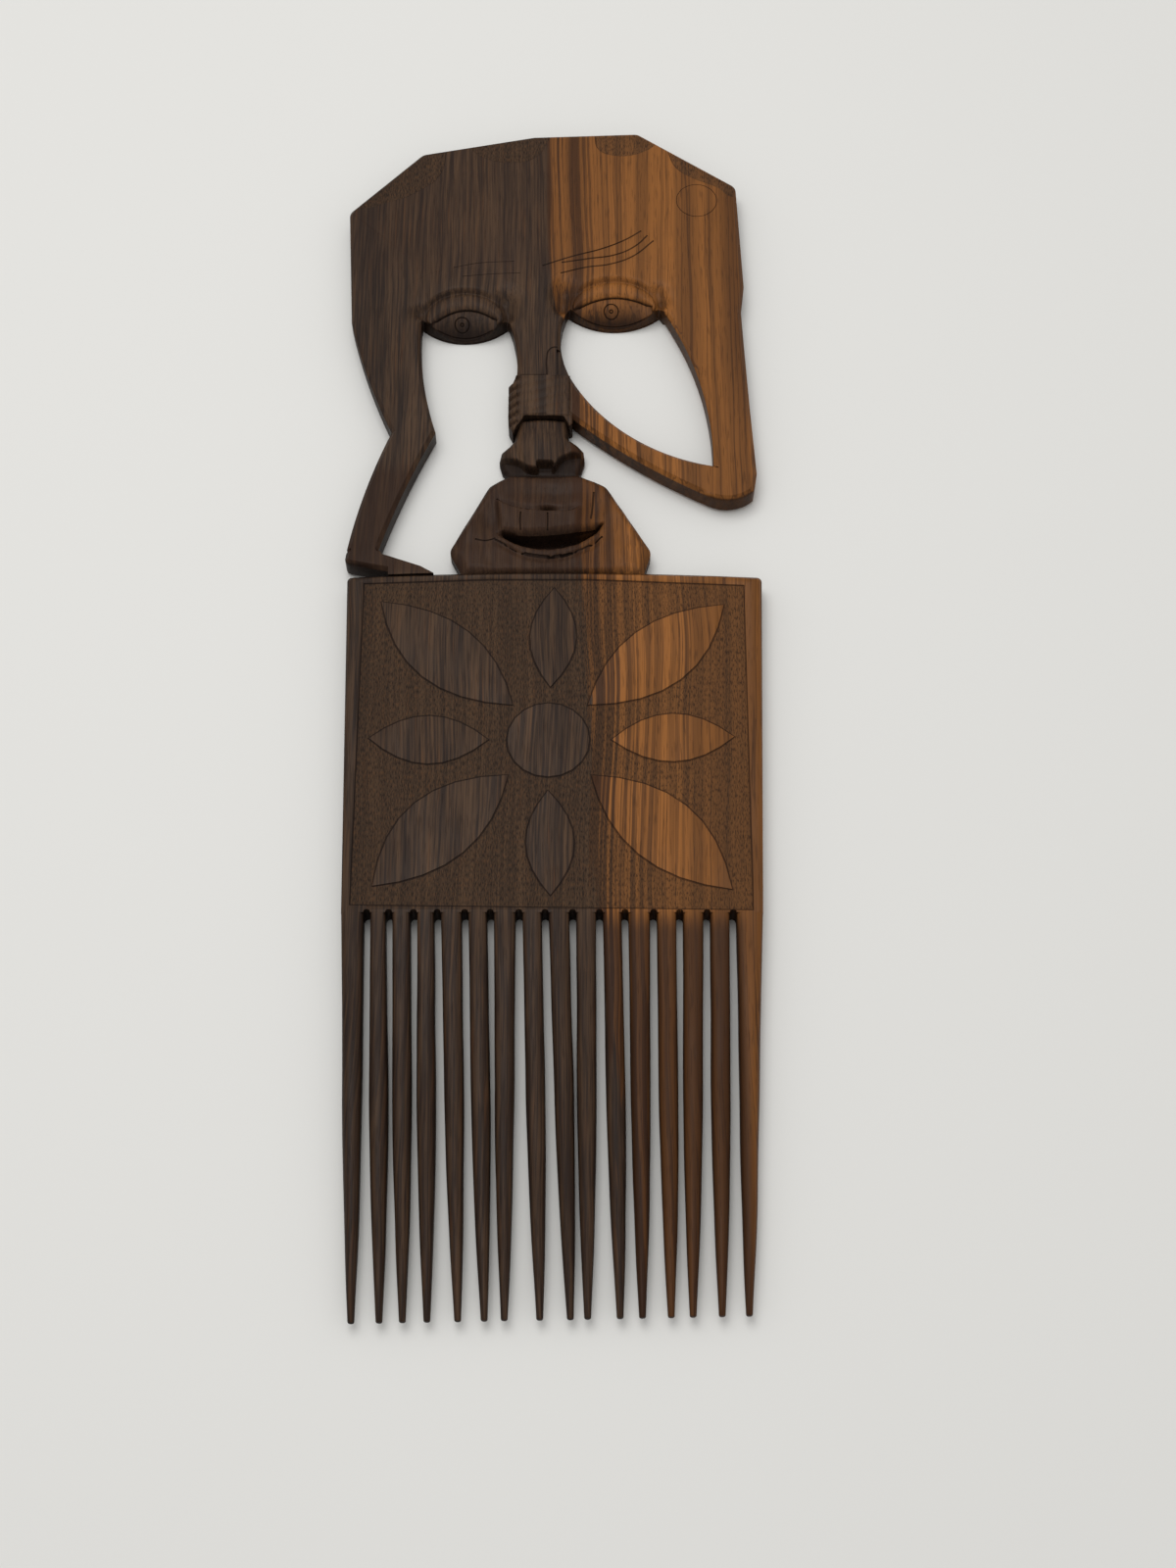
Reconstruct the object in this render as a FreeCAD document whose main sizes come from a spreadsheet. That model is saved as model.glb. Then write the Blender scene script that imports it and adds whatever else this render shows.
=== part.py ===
"""Carved wooden hair pick: a comb panel with sixteen teeth under a pierced head.

The pick is one hardwood plank lying on its flat back. X runs across the comb, Y runs from the
teeth to the crown of the head, and Z comes up out of the carved front. The origin is the middle of
the comb panel's back. Heights that end in _up are measured from the panel's shoulder line.
"""
import FreeCAD, Part
import os
import re

import Sketcher

Vector = FreeCAD.Vector

SIZES = [
    ("board_thickness", 8.0, "back of the plank to its front"),
    ("edge_round", 1.2, "easing of the worked edges of the plank"),
    ("panel_top_width", 127.4, "comb panel across its shoulders"),
    ("panel_bottom_width", 121.0, "comb panel across the roots of the teeth"),
    ("panel_height", 112.0, "roots of the teeth to the shoulder line"),
    ("panel_crown", 1.7, "rise of the panel's arched upper edge"),
    ("panel_corner_round", 1.6, "upper corners of the panel seen from the front"),
    ("tooth_count", 16, "teeth in the row"),
    ("tooth_length", 117.0, "root of a tooth to its tip"),
    ("tip_slant", 2.0, "how much shorter the last tooth is than the first"),
    ("slot_width", 2.0, "saw cut between two teeth at the root"),
    ("guard_extra", 1.5, "how much wider the two outer teeth are at the root"),
    ("tip_span", 106.0, "first tip to last tip"),
    ("shank_reach", 26.0, "root to the middle of a tooth's straight part"),
    ("belly_reach", 60.0, "root to the place where a tooth starts to thin"),
    ("taper_reach", 94.0, "root to the middle of the thinning"),
    ("belly_slot", 1.9, "usual gap between two teeth at the belly"),
    ("taper_width", 3.8, "tooth width in the middle of the thinning"),
    ("tip_width", 1.8, "tooth width at the blunt tip"),
    ("shank_depth", 7.7, "tooth thickness in the middle of its straight part"),
    ("belly_depth", 7.0, "tooth thickness at the belly"),
    ("taper_depth", 4.8, "tooth thickness in the middle of the thinning"),
    ("tip_depth", 2.4, "tooth thickness at the tip"),
    ("root_round", 0.5, "rounding of a tooth's long edges at its root"),
    ("tooth_roundness", 0.36, "rounding of a tooth's section, as a part of its width"),
    ("hip_x", -55.2, "middle of the thigh where it leaves the forehead"),
    ("hip_up", 96.5, "height of that place"),
    ("hip_width", 22.8, "thigh width there"),
    ("thigh_x", -50.4, "middle of the thigh halfway down"),
    ("thigh_up", 70.0, "height of that place"),
    ("thigh_width", 16.8, "thigh width there"),
    ("knee_x", -45.1, "middle of the knee"),
    ("knee_up", 53.5, "height of the knee"),
    ("knee_width", 14.0, "width of the knee"),
    ("calf_x", -51.9, "middle of the calf"),
    ("calf_up", 36.0, "height of the calf"),
    ("calf_width", 12.6, "width of the calf"),
    ("ankle_x", -59.4, "middle of the ankle"),
    ("ankle_up", 10.0, "height of the ankle"),
    ("ankle_width", 9.8, "width of the ankle"),
    ("heel_x", -64.9, "back of the heel"),
    ("heel_up", 5.0, "underside of the heel"),
    ("heel_round", 2.0, "rounding of the heel seen from the front"),
    ("slit_x", -51.2, "closed end of the slit under the heel"),
    ("slit_up", 2.2, "underside of the foot at that end"),
    ("instep_x", -53.4, "front of the ankle at the instep"),
    ("instep_up", 8.0, "height of the instep"),
    ("toe_top_x", -41.3, "ball of the foot"),
    ("toe_top_up", 3.6, "height of the ball of the foot"),
    ("toe_x", -37.2, "tip of the toes on the panel"),
    ("shoulder_x", 47.6, "middle of the arm where it leaves the forehead"),
    ("shoulder_up", 101.0, "height of that place"),
    ("shoulder_width", 25.2, "arm width there"),
    ("biceps_x", 45.9, "inner edge of the upper arm"),
    ("biceps_up", 74.0, "height of that place"),
    ("triceps_x", 61.9, "outer edge of the upper arm"),
    ("triceps_up", 64.0, "height of that place"),
    ("elbow_in_x", 49.8, "inner bend of the elbow"),
    ("elbow_in_up", 41.0, "height of the inner bend"),
    ("elbow_back_x", 63.4, "outer edge of the arm above the elbow"),
    ("elbow_back_up", 38.0, "height of that place"),
    ("elbow_out_x", 62.3, "point of the elbow"),
    ("elbow_out_up", 31.6, "height of the point of the elbow"),
    ("elbow_tip_x", 56.8, "lowest place of the elbow"),
    ("elbow_tip_up", 28.5, "height of that place"),
    ("cubit_x", 48.5, "lower edge of the forearm next to the elbow"),
    ("cubit_up", 29.4, "height of that place"),
    ("forearm_low_x", 25.0, "lower edge of the forearm"),
    ("forearm_low_up", 43.4, "height of that place"),
    ("forearm_top_x", 20.0, "upper edge of the forearm"),
    ("forearm_top_up", 55.2, "height of that place"),
    ("temple_left_x", -69.2, "left temple"),
    ("temple_left_up", 141.5, "height of the left temple"),
    ("crown_left_x", -45.5, "left end of the crown"),
    ("crown_left_up", 166.6, "height of that end"),
    ("crown_mid_x", -8.0, "break in the crown's outline"),
    ("crown_mid_up", 174.2, "height of that break"),
    ("crown_right_x", 27.0, "right end of the crown"),
    ("crown_right_up", 175.6, "height of that end"),
    ("temple_right_x", 59.8, "right temple"),
    ("temple_right_up", 152.6, "height of the right temple"),
    ("cheek_x", 61.4, "outer edge beside the right eye"),
    ("cheek_up", 111.0, "height of that place"),
    ("temple_round", 3.5, "rounding of the head's corners seen from the front"),
    ("left_eye_x", -29.9, "middle of the left eye"),
    ("left_eye_up", 98.3, "height of the left eye's corners"),
    ("left_eye_width", 27.8, "left eye, lid corner to lid corner"),
    ("right_eye_x", 18.9, "middle of the right eye"),
    ("right_eye_up", 103.0, "height of the right eye's corners"),
    ("right_eye_width", 29.6, "right eye, lid corner to lid corner"),
    ("lid_rise", 11.4, "upper lid's arch over the corners"),
    ("lid_drop", 5.4, "lower lid's sag under the corners"),
    ("lid_depth", 6.4, "back of the plank to the front of the lids"),
    ("lid_rim_depth", 4.0, "back of the plank to the front of the lower lid's rim"),
    ("lid_corner", 3.0, "corner of the lids to the corner of the eyeball"),
    ("eyeball_rise", 4.8, "upper edge of the eyeball over the corners"),
    ("eyeball_drop", 3.6, "lower edge of the eyeball under the corners"),
    ("eyeball_sink", 1.2, "depth of the cut that frees the eyeball"),
    ("eyeball_bulge", 1.0, "dome of the eyeball over the bottom of that cut"),
    ("eyeball_gap", 0.4, "groove between the eyeball and the lids"),
    ("eyeball_taper", 55.0, "lean of the eyeball's sides off upright, in degrees"),
    ("bridge_x", -5.9, "middle of the nose bridge"),
    ("bridge_up", 88.0, "height of that place"),
    ("bridge_width", 14.6, "width of the nose bridge there"),
    ("wrist_x", 4.6, "where the forearm runs into the hand"),
    ("hand_top_up", 74.8, "upper edge of the hand"),
    ("hand_low_up", 59.5, "lower edge of the hand"),
    ("hand_left_x", -12.6, "where the fingers turn round the bridge"),
    ("finger_x", -15.2, "knuckles of the wrapped fingers"),
    ("hand_rise", 0.7, "how far the hand stands in front of the plank"),
    ("knuckle_round", 1.2, "rounding of the knuckles"),
    ("finger_pitch", 3.1, "spacing of the fingers"),
    ("finger_cuts", 3, "cuts between the fingers"),
    ("finger_cut", 0.8, "width of the cut between two fingers"),
    ("finger_cut_depth", 1.4, "depth of the cut between two fingers"),
    ("finger_cut_length", 4.2, "length of the cut between two fingers"),
    ("finger_slant", 1.5, "drop of that cut towards the knuckles"),
    ("thumb_left_x", -2.6, "inner side of the thumb"),
    ("thumb_top_up", 85.2, "tip of the thumb"),
    ("thumb_tip_x", 1.3, "outer side of the thumb at its tip"),
    ("thumb_depth", 1.9, "thickness of the thumb laid on the bridge"),
    ("nose_top_width", 14.6, "nose width under the hand"),
    ("nose_top_depth", 5.8, "nose thickness under the hand"),
    ("nose_neck_x", -4.2, "middle of the nose's narrow part"),
    ("nose_neck_up", 53.5, "height of that place"),
    ("nose_neck_width", 17.4, "width of that place"),
    ("nose_neck_depth", 6.2, "thickness of that place"),
    ("nose_wing_x", -4.3, "middle of the nose at its wings"),
    ("nose_wing_up", 45.3, "height of the wings"),
    ("nose_wing_width", 26.8, "nose width across the wings"),
    ("nose_base_x", -3.5, "middle of the nose's base"),
    ("nose_base_up", 38.6, "height of the nose's base on the lip"),
    ("nose_base_width", 21.0, "width of the nose's base"),
    ("nose_base_depth", 6.6, "thickness of the nose's base"),
    ("nose_round", 2.2, "rounding of the nose's long edges"),
    ("nostril_width", 7.2, "width of a nostril"),
    ("nostril_height", 4.4, "height of a nostril"),
    ("nostril_gap", 5.6, "septum between the nostrils"),
    ("nostril_up", 41.6, "height of the nostrils"),
    ("nostril_depth", 3.0, "depth of the nostrils"),
    ("mouth_depth", 7.3, "back of the plank to the front of the muzzle"),
    ("lip_left_x", -20.6, "left shoulder of the muzzle"),
    ("lip_right_x", 15.8, "right shoulder of the muzzle"),
    ("lip_up", 34.3, "height of the muzzle's shoulders"),
    ("jaw_left_x", -32.8, "left corner of the jaw"),
    ("jaw_right_x", 30.0, "right corner of the jaw"),
    ("jaw_up", 9.8, "height of the jaw's corners"),
    ("chin_left_x", -28.6, "left end of the chin on the panel"),
    ("chin_right_x", 27.4, "right end of the chin on the panel"),
    ("jaw_round", 4.0, "rounding of the muzzle's corners seen from the front"),
    ("mouth_left_x", -17.0, "left corner of the mouth"),
    ("mouth_left_up", 16.6, "height of the left corner"),
    ("mouth_right_x", 14.4, "right corner of the mouth"),
    ("mouth_right_up", 19.4, "height of the right corner"),
    ("mouth_mid_x", -1.6, "middle of the mouth"),
    ("upper_lip_up", 24.6, "upper edge of the upper lip"),
    ("mouth_top_up", 16.0, "lower edge of the upper lip"),
    ("mouth_low_up", 11.4, "upper edge of the lower lip"),
    ("lower_lip_up", 7.2, "lower edge of the lower lip"),
    ("mouth_cut", 4.2, "depth of the open mouth"),
    ("lip_corner", 2.0, "corner of the mouth to the corner of the lips"),
    ("lip_rise", 0.9, "how far the lips stand in front of the muzzle"),
]

# The teeth were sawn by eye, so each cut and each tip lies a little off the even row.
SLOT_DRIFT = (-0.6, -1.8, -2.2, -2.9, -2.5, -2.7, -2.0, -2.0, -1.6, -1.4, -1.6, -0.9, -0.9, -0.6, -0.6)
TIP_DRIFT = (0.3, 0.7, -0.2, -0.7, 0.3, 0.3, -1.4, 1.0, 2.1, -0.4, 1.2, 0.1, 0.7, -0.6, 0.1, 0.3)
for number, drift in enumerate(SLOT_DRIFT, start=1):
    SIZES.append((f"slot_drift_{number}", drift, "saw cut off the even row"))
for number, drift in enumerate(TIP_DRIFT, start=1):
    SIZES.append((f"tip_drift_{number}", drift, "tip off the even row"))

doc = FreeCAD.newDocument("HairPick")
sheet = doc.addObject("Spreadsheet::Sheet", "Sizes")
for row, (alias, number, meaning) in enumerate(SIZES, start=1):
    sheet.set(f"A{row}", meaning)
    sheet.set(f"B{row}", str(number))
    sheet.setAlias(f"B{row}", alias)
doc.recompute()
ALIASES = {alias for alias, number, meaning in SIZES}


def bound(text):
    """Turns a formula of size names into one that reads the spreadsheet."""
    def linked(word):
        return f"Sizes.{word[0]}" if word[0] in ALIASES else word[0]

    return re.sub(r"[a-z][a-z_0-9]*", linked, text)


def number_of(text):
    return float(getattr(sheet.evalExpression(bound(text)), "Value", sheet.evalExpression(bound(text))))


def up(text):
    """A height above the panel's shoulder line, in the part's own Y."""
    return f"panel_height / 2 + {text}"


def plane(body, role):
    return next(feature for feature in body.Origin.OriginFeatures if feature.Role == role)


def new_body(label):
    body = doc.addObject("PartDesign::Body", label)
    body.Label = label
    return body


def new_sketch(body, name, role="XY_Plane"):
    sketch = body.newObject("Sketcher::SketchObject", name)
    sketch.AttachmentSupport = [(plane(body, role), "")]
    sketch.MapMode = "FlatFace"
    return sketch


def pin(sketch, shape, point, x, y):
    """Holds one point of a sketch at a place given by two formulas."""
    for axis, formula, other in (("DistanceX", x, -2), ("DistanceY", y, -1)):
        if formula == "0":
            sketch.addConstraint(Sketcher.Constraint("PointOnObject", shape, point, other))
            continue
        held = sketch.addConstraint(Sketcher.Constraint(axis, -1, 1, shape, point, number_of(formula)))
        sketch.setExpression(f"Constraints[{held}]", bound(formula))


def trace(sketch, corners):
    """Draws a closed outline: (x, y) is a straight side to that corner, four formulas an arc through
    the second pair."""
    places = [Vector(number_of(corner[0]), number_of(corner[1]), 0) for corner in corners]
    sides = []
    for index, corner in enumerate(corners):
        start = places[index - 1]
        end = places[index]
        if len(corner) == 2:
            side = sketch.addGeometry(Part.LineSegment(start, end))
        else:
            through = Vector(number_of(corner[2]), number_of(corner[3]), 0)
            side = sketch.addGeometry(Part.Arc(start, through, end))
            mark = sketch.addGeometry(Part.Point(through), True)
            sketch.addConstraint(Sketcher.Constraint("PointOnObject", mark, 1, side))
            pin(sketch, mark, 1, corner[2], corner[3])
        first = 1 if sketch.getPoint(side, 1).distanceToPoint(start) < 1e-6 else 2
        sides.append((side, first, 3 - first))
    for index, (side, first, last) in enumerate(sides):
        following = sides[(index + 1) % len(sides)]
        sketch.addConstraint(Sketcher.Constraint("Coincident", side, last, following[0], following[1]))
        pin(sketch, side, last, corners[index][0], corners[index][1])


def section(body, name, x, y, width, low, high, rounding):
    """An oblong across the plank at (x, y), from Z low to Z high, with two flats whittled on each corner."""
    sketch = new_sketch(body, name, "XZ_Plane")
    middle = f"(({low}) + ({high})) / 2"
    sketch.setExpression("AttachmentOffset", bound(
        f"create(<<placement>>; create(<<vector>>; {x}; {middle}; -({y})); create(<<rotation>>; 0; 0; 0))"))
    half = f"({width}) / 2"
    tall = f"(({high}) - ({low})) / 2"
    flat = f"({half} - ({rounding}))"
    wall = f"({tall} - ({rounding}))"
    turn = f"({rounding}) * sqrt(2) / 2"
    corners = []
    for across, upward in ((1, -1), (1, 1), (-1, 1), (-1, -1)):
        corner = [
            (f"{across} * {flat}", f"{upward} * {tall}"),
            (f"{across} * ({flat} + {turn})", f"{upward} * ({wall} + {turn})"),
            (f"{across} * {half}", f"{upward} * {wall}"),
        ]
        corners += corner if across * upward < 0 else corner[::-1]
    trace(sketch, corners)
    return sketch


def loft(body, name, sections):
    feature = body.newObject("PartDesign::AdditiveLoft", name)
    feature.Profile = sections[0]
    feature.Sections = sections[1:]
    feature.Ruled = True
    doc.recompute()
    return feature


def pad(body, name, sketch, length):
    feature = body.newObject("PartDesign::Pad", name)
    feature.Profile = sketch
    feature.setExpression("Length", bound(length))
    doc.recompute()
    return feature


def pocket(body, name, sketch, depth, from_front=True):
    """Cuts from the sketch's own level down towards the back of the plank."""
    before = body.Shape.Volume
    feature = body.newObject("PartDesign::Pocket", name)
    feature.Profile = sketch
    feature.setExpression("Length", bound(depth))
    feature.Reversed = not from_front
    doc.recompute()
    if body.Shape.Volume > before - 1e-3:
        raise RuntimeError(f"{name} in {body.Label} cuts nothing")
    return feature


def work_edges(body, name, kind, measure, size, wanted):
    """Works the edges of the body's last feature that the test picks."""
    base = body.Tip
    names = [f"Edge{index}" for index, edge in enumerate(base.Shape.Edges, start=1) if wanted(edge)]
    if not names:
        raise RuntimeError(f"{name} in {body.Label} finds no edge")
    feature = body.newObject(f"PartDesign::{kind}", name)
    feature.Base = (base, names)
    feature.setExpression(measure, bound(size))
    doc.recompute()
    return feature


def fillet(body, name, radius, wanted):
    return work_edges(body, name, "Fillet", "Radius", radius, wanted)


def ease(body, name, size, wanted):
    """Takes the sharpness off edges with a narrow flat."""
    return work_edges(body, name, "Chamfer", "Size", size, wanted)


def middle_of(edge):
    return edge.valueAt((edge.FirstParameter + edge.LastParameter) / 2)


def upright(edge):
    ends = edge.BoundBox
    return ends.XLength < 1e-4 and ends.YLength < 1e-4 and ends.ZLength > 1e-4


def at_level(edge, level):
    return abs(edge.BoundBox.ZMin - level) < 1e-4 and abs(edge.BoundBox.ZMax - level) < 1e-4


def near_line(place, first, second):
    """Whether a place lies on the straight line between two (x, y) corners."""
    along = second - first
    offset = Vector(place.x, place.y, 0) - first
    share = offset.dot(along) / along.dot(along)
    return -0.001 < share < 1.001 and abs(along.cross(offset).z) / along.Length < 1e-3


def spot(x, y):
    return Vector(number_of(x), number_of(y), 0)


def near_any(edge, corners, reach):
    """Whether the middle of an edge lies within reach of one of these corners, seen from the front."""
    middle = middle_of(edge)
    return any((Vector(middle.x, middle.y, 0) - corner).Length < reach for corner in corners)


def levelled_sketch(body, name, level):
    sketch = new_sketch(body, name)
    sketch.setExpression("AttachmentOffset.Base.z", bound(level))
    return sketch


FRONT = number_of("board_thickness")
BACK = 0.0
ROOTS = "-panel_height / 2"
TEETH = int(number_of("tooth_count"))
PITCH = "(panel_bottom_width - 2 * guard_extra + slot_width) / tooth_count"
TIP_PITCH = "tip_span / (tooth_count - 1)"


def drift_of(alias):
    return alias if alias in ALIASES else "0.0"


def slot_place(number):
    """Middle of a saw cut at the roots of the teeth, counted from the left."""
    even = f"-panel_bottom_width / 2 + guard_extra + {number} * ({PITCH}) - slot_width / 2"
    return f"{even} + {drift_of(f'slot_drift_{number}')}"


def shelf(x):
    """Height of the panel's arched upper edge at x."""
    radius = "((panel_top_width ^ 2 / 4 + panel_crown ^ 2) / (2 * panel_crown))"
    return f"panel_height / 2 + panel_crown - {radius} + sqrt({radius} ^ 2 - ({x}) ^ 2)"


def make_panel():
    body = new_body("comb_panel")
    outline = new_sketch(body, "PanelOutline")
    trace(outline, [
        ("-panel_bottom_width / 2", ROOTS),
        ("panel_bottom_width / 2", ROOTS),
        ("panel_top_width / 2", "panel_height / 2"),
        ("-panel_top_width / 2", "panel_height / 2", "0", "panel_height / 2 + panel_crown"),
    ])
    pad(body, "PanelPad", outline, "board_thickness")
    roots = number_of(ROOTS)
    fillet(body, "PanelCorners", "panel_corner_round",
           lambda edge: upright(edge) and middle_of(edge).y > 0)
    ease(body, "PanelEdges", "edge_round",
           lambda edge: (at_level(edge, FRONT) or at_level(edge, BACK)) and middle_of(edge).y > roots + 1e-3)
    ends = new_sketch(body, "SlotEnds")
    for number in range(1, TEETH):
        place = slot_place(number)
        radius = number_of("slot_width / 2")
        circle = ends.addGeometry(Part.Circle(spot(place, ROOTS), Vector(0, 0, 1), radius))
        pin(ends, circle, 3, place, ROOTS)
        held = ends.addConstraint(Sketcher.Constraint("Radius", circle, radius))
        ends.setExpression(f"Constraints[{held}]", bound("slot_width / 2"))
    pocket(body, "SlotEndCuts", ends, "board_thickness", from_front=False)
    return body


def make_tooth(number):
    body = new_body(f"tooth_{number:02d}")
    left = f"({slot_place(number - 1)} + slot_width / 2)" if number > 1 else "(-panel_bottom_width / 2)"
    right = f"({slot_place(number)} - slot_width / 2)" if number < TEETH else "(panel_bottom_width / 2)"
    root_x = f"({left} + {right}) / 2"
    tip_x = f"(-tip_span / 2 + {number - 1} * {TIP_PITCH} + {drift_of(f'tip_drift_{number}')})"
    belly_width = f"(({PITCH} + {TIP_PITCH}) / 2 - belly_slot)"
    length = f"(tooth_length - tip_slant * {number - 1} / (tooth_count - 1))"
    stations = [("Root", "0", f"{right} - {left}", "board_thickness", "root_round")]
    shank_width = f"(({right} - {left} + {belly_width}) / 2)"
    for name, reach, width, depth in (("Shank", "shank_reach", shank_width, "shank_depth"),
                                      ("Belly", "belly_reach", belly_width, "belly_depth"),
                                      ("Taper", "taper_reach", "taper_width", "taper_depth"),
                                      ("Tip", length, "tip_width", "tip_depth")):
        stations.append((name, reach, width, depth, f"{width} * tooth_roundness"))
    sections = []
    for name, reach, width, depth, rounding in stations:
        x = f"{root_x} + ({tip_x} - {root_x}) * {reach} / {length}"
        low = f"(board_thickness - {depth}) / 2"
        high = f"(board_thickness + {depth}) / 2"
        y = f"{ROOTS} - {reach}"
        sections.append(section(body, f"Tooth{number}{name}", x, y, width, low, high, rounding))
    loft(body, f"Tooth{number}Loft", sections)
    return body


def edge_of(place, side):
    """Left or right edge of a limb at one of the places that it is measured at."""
    sign = "-" if side == "left" else "+"
    return f"{place}_x {sign} {place}_width / 2", up(f"{place}_up")


def saw(label, outline, seams, depth="board_thickness"):
    """A piece of the plank: an outline padded to its thickness, eased along all but its seams."""
    body = new_body(label)
    sketch = new_sketch(body, f"{label}_outline")
    trace(sketch, outline)
    pad(body, f"{label}_pad", sketch, depth)
    lines = [(spot(*first[:2]), spot(*second[:2])) for first, second in seams]
    front = number_of(depth)
    ease(body, f"{label}_edges", "edge_round",
         lambda edge: (at_level(edge, front) or at_level(edge, BACK))
         and not any(near_line(middle_of(edge), first, second) for first, second in lines))
    return body


def make_leg(label, top, middle, bottom):
    upper_seam = (edge_of(top, "left"), edge_of(top, "right"))
    lower_seam = (edge_of(bottom, "right"), edge_of(bottom, "left"))
    return saw(label, [
        upper_seam[1],
        lower_seam[0] + edge_of(middle, "right"),
        lower_seam[1],
        upper_seam[0] + edge_of(middle, "left"),
    ], [upper_seam, lower_seam])


def make_foot():
    body = new_body("foot")
    outline = new_sketch(body, "FootOutline")
    ankle_left = "ankle_x - ankle_width / 2"
    ankle_right = "ankle_x + ankle_width / 2"
    trace(outline, [
        (ankle_right, up("ankle_up")),
        (ankle_left, up("ankle_up")),
        ("heel_x", up("heel_up")),
        ("slit_x", up("slit_up")),
        ("slit_x", shelf("slit_x")),
        ("toe_x", shelf("toe_x"), "(slit_x + toe_x) / 2", shelf("(slit_x + toe_x) / 2")),
        ("toe_top_x", up("toe_top_up")),
        ("instep_x", up("instep_up")),
    ])
    pad(body, "FootPad", outline, "board_thickness")
    heel = spot("heel_x", up("heel_up"))
    fillet(body, "HeelRound", "heel_round",
           lambda edge: upright(edge) and (middle_of(edge) - heel).Length < FRONT)
    ankle = number_of(up("ankle_up"))
    slit = spot("slit_x", up("slit_up"))
    ease(body, "FootEdges", "edge_round",
         lambda edge: (at_level(edge, FRONT) or at_level(edge, BACK)) and middle_of(edge).x < slit.x
         and slit.y < middle_of(edge).y < ankle - 1e-3 and middle_of(edge).x < number_of("ankle_x"))
    return body


ELBOW_IN = ("elbow_in_x", up("elbow_in_up"))
ELBOW_OUT = ("elbow_out_x", up("elbow_out_up"))
WRIST_TOP = ("wrist_x", up("hand_top_up"))
WRIST_LOW = ("wrist_x", up("hand_low_up"))


def make_upper_arm():
    inner = edge_of("shoulder", "left")
    outer = edge_of("shoulder", "right")
    return saw("upper_arm", [
        outer,
        ("elbow_back_x", up("elbow_back_up"), "triceps_x", up("triceps_up")),
        ELBOW_OUT,
        ELBOW_IN,
        inner + ("biceps_x", up("biceps_up")),
    ], [(inner, outer), (ELBOW_IN, ELBOW_OUT)])


def make_forearm():
    return saw("forearm", [
        ELBOW_OUT,
        ("cubit_x", up("cubit_up"), "elbow_tip_x", up("elbow_tip_up")),
        WRIST_LOW + ("forearm_low_x", up("forearm_low_up")),
        WRIST_TOP,
        ELBOW_IN + ("forearm_top_x", up("forearm_top_up")),
    ], [(ELBOW_IN, ELBOW_OUT), (WRIST_LOW, WRIST_TOP)])


def eye_corners(side):
    return f"{side}_eye_x - {side}_eye_width / 2", f"{side}_eye_x + {side}_eye_width / 2"


def make_forehead():
    body = new_body("forehead")
    left_out, left_in = eye_corners("left")
    right_in, right_out = eye_corners("right")
    hip_left = ("hip_x - hip_width / 2", up("hip_up"))
    rim = [
        hip_left,
        ("temple_left_x", up("temple_left_up")),
        ("crown_left_x", up("crown_left_up")),
        ("crown_mid_x", up("crown_mid_up")),
        ("crown_right_x", up("crown_right_up")),
        ("temple_right_x", up("temple_right_up")),
        ("cheek_x", up("cheek_up")),
        ("shoulder_x + shoulder_width / 2", up("shoulder_up")),
    ]
    outline = new_sketch(body, "HeadOutline")
    trace(outline, rim + [
        ("shoulder_x - shoulder_width / 2", up("shoulder_up")),
        (right_out, up("right_eye_up")),
        (right_in, up("right_eye_up"), "right_eye_x", up("right_eye_up + lid_rise")),
        (left_in, up("left_eye_up")),
        (left_out, up("left_eye_up"), "left_eye_x", up("left_eye_up + lid_rise")),
        ("hip_x + hip_width / 2", up("hip_up")),
    ])
    pad(body, "HeadPad", outline, "board_thickness")
    turns = [spot(*corner) for corner in rim[1:6]]
    fillet(body, "HeadCorners", "temple_round", lambda edge: upright(edge) and near_any(edge, turns, 1e-3))
    sides = list(zip([spot(*corner) for corner in rim], [spot(*corner) for corner in rim[1:]]))
    ease(body, "HeadEdges", "edge_round", lambda edge: (at_level(edge, FRONT) or at_level(edge, BACK)) and (
        any(near_line(middle_of(edge), first, second) for first, second in sides)
        or near_any(edge, turns, number_of("temple_round"))))
    return body


def make_eye(side):
    body = new_body(f"{side}_eye")
    out_x, in_x = eye_corners(side)
    level = up(f"{side}_eye_up")
    middle = f"{side}_eye_x"
    lids = new_sketch(body, f"{side}_lids")
    trace(lids, [
        (in_x, level, middle, up(f"{side}_eye_up + lid_rise")),
        (out_x, level, middle, up(f"{side}_eye_up - lid_drop")),
    ])
    pad(body, f"{side}_lid_pad", lids, "lid_depth")
    slope = new_sketch(body, f"{side}_lid_slope", "YZ_Plane")
    slope.setExpression("AttachmentOffset.Base.z", bound(out_x))
    trace(slope, [
        (level, "lid_depth"),
        (f"{level} - lid_drop", "lid_rim_depth"),
        (f"{level} - lid_drop - lid_corner", "lid_rim_depth"),
        (f"{level} - lid_drop - lid_corner", "lid_depth"),
    ])
    pocket(body, f"{side}_lid_slope_cut", slope, f"{side}_eye_width", from_front=False)
    opening = levelled_sketch(body, f"{side}_eyelid_opening", "lid_depth")
    trace(opening, [
        (f"{in_x} - lid_corner", level, middle, up(f"{side}_eye_up + eyeball_rise")),
        (f"{out_x} + lid_corner", level, middle, up(f"{side}_eye_up - eyeball_drop")),
    ])
    pocket(body, f"{side}_eyelid_cut", opening, "eyeball_sink")
    ball = levelled_sketch(body, f"{side}_eyeball_outline", "lid_depth - eyeball_sink")
    trace(ball, [
        (f"{in_x} - lid_corner - 2 * eyeball_gap", level, middle, up(f"{side}_eye_up + eyeball_rise - eyeball_gap")),
        (f"{out_x} + lid_corner + 2 * eyeball_gap", level, middle, up(f"{side}_eye_up - eyeball_drop + eyeball_gap")),
    ])
    dome = pad(body, f"{side}_eyeball", ball, "eyeball_bulge")
    dome.setExpression("TaperAngle", bound("-eyeball_taper"))
    doc.recompute()
    return body


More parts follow.
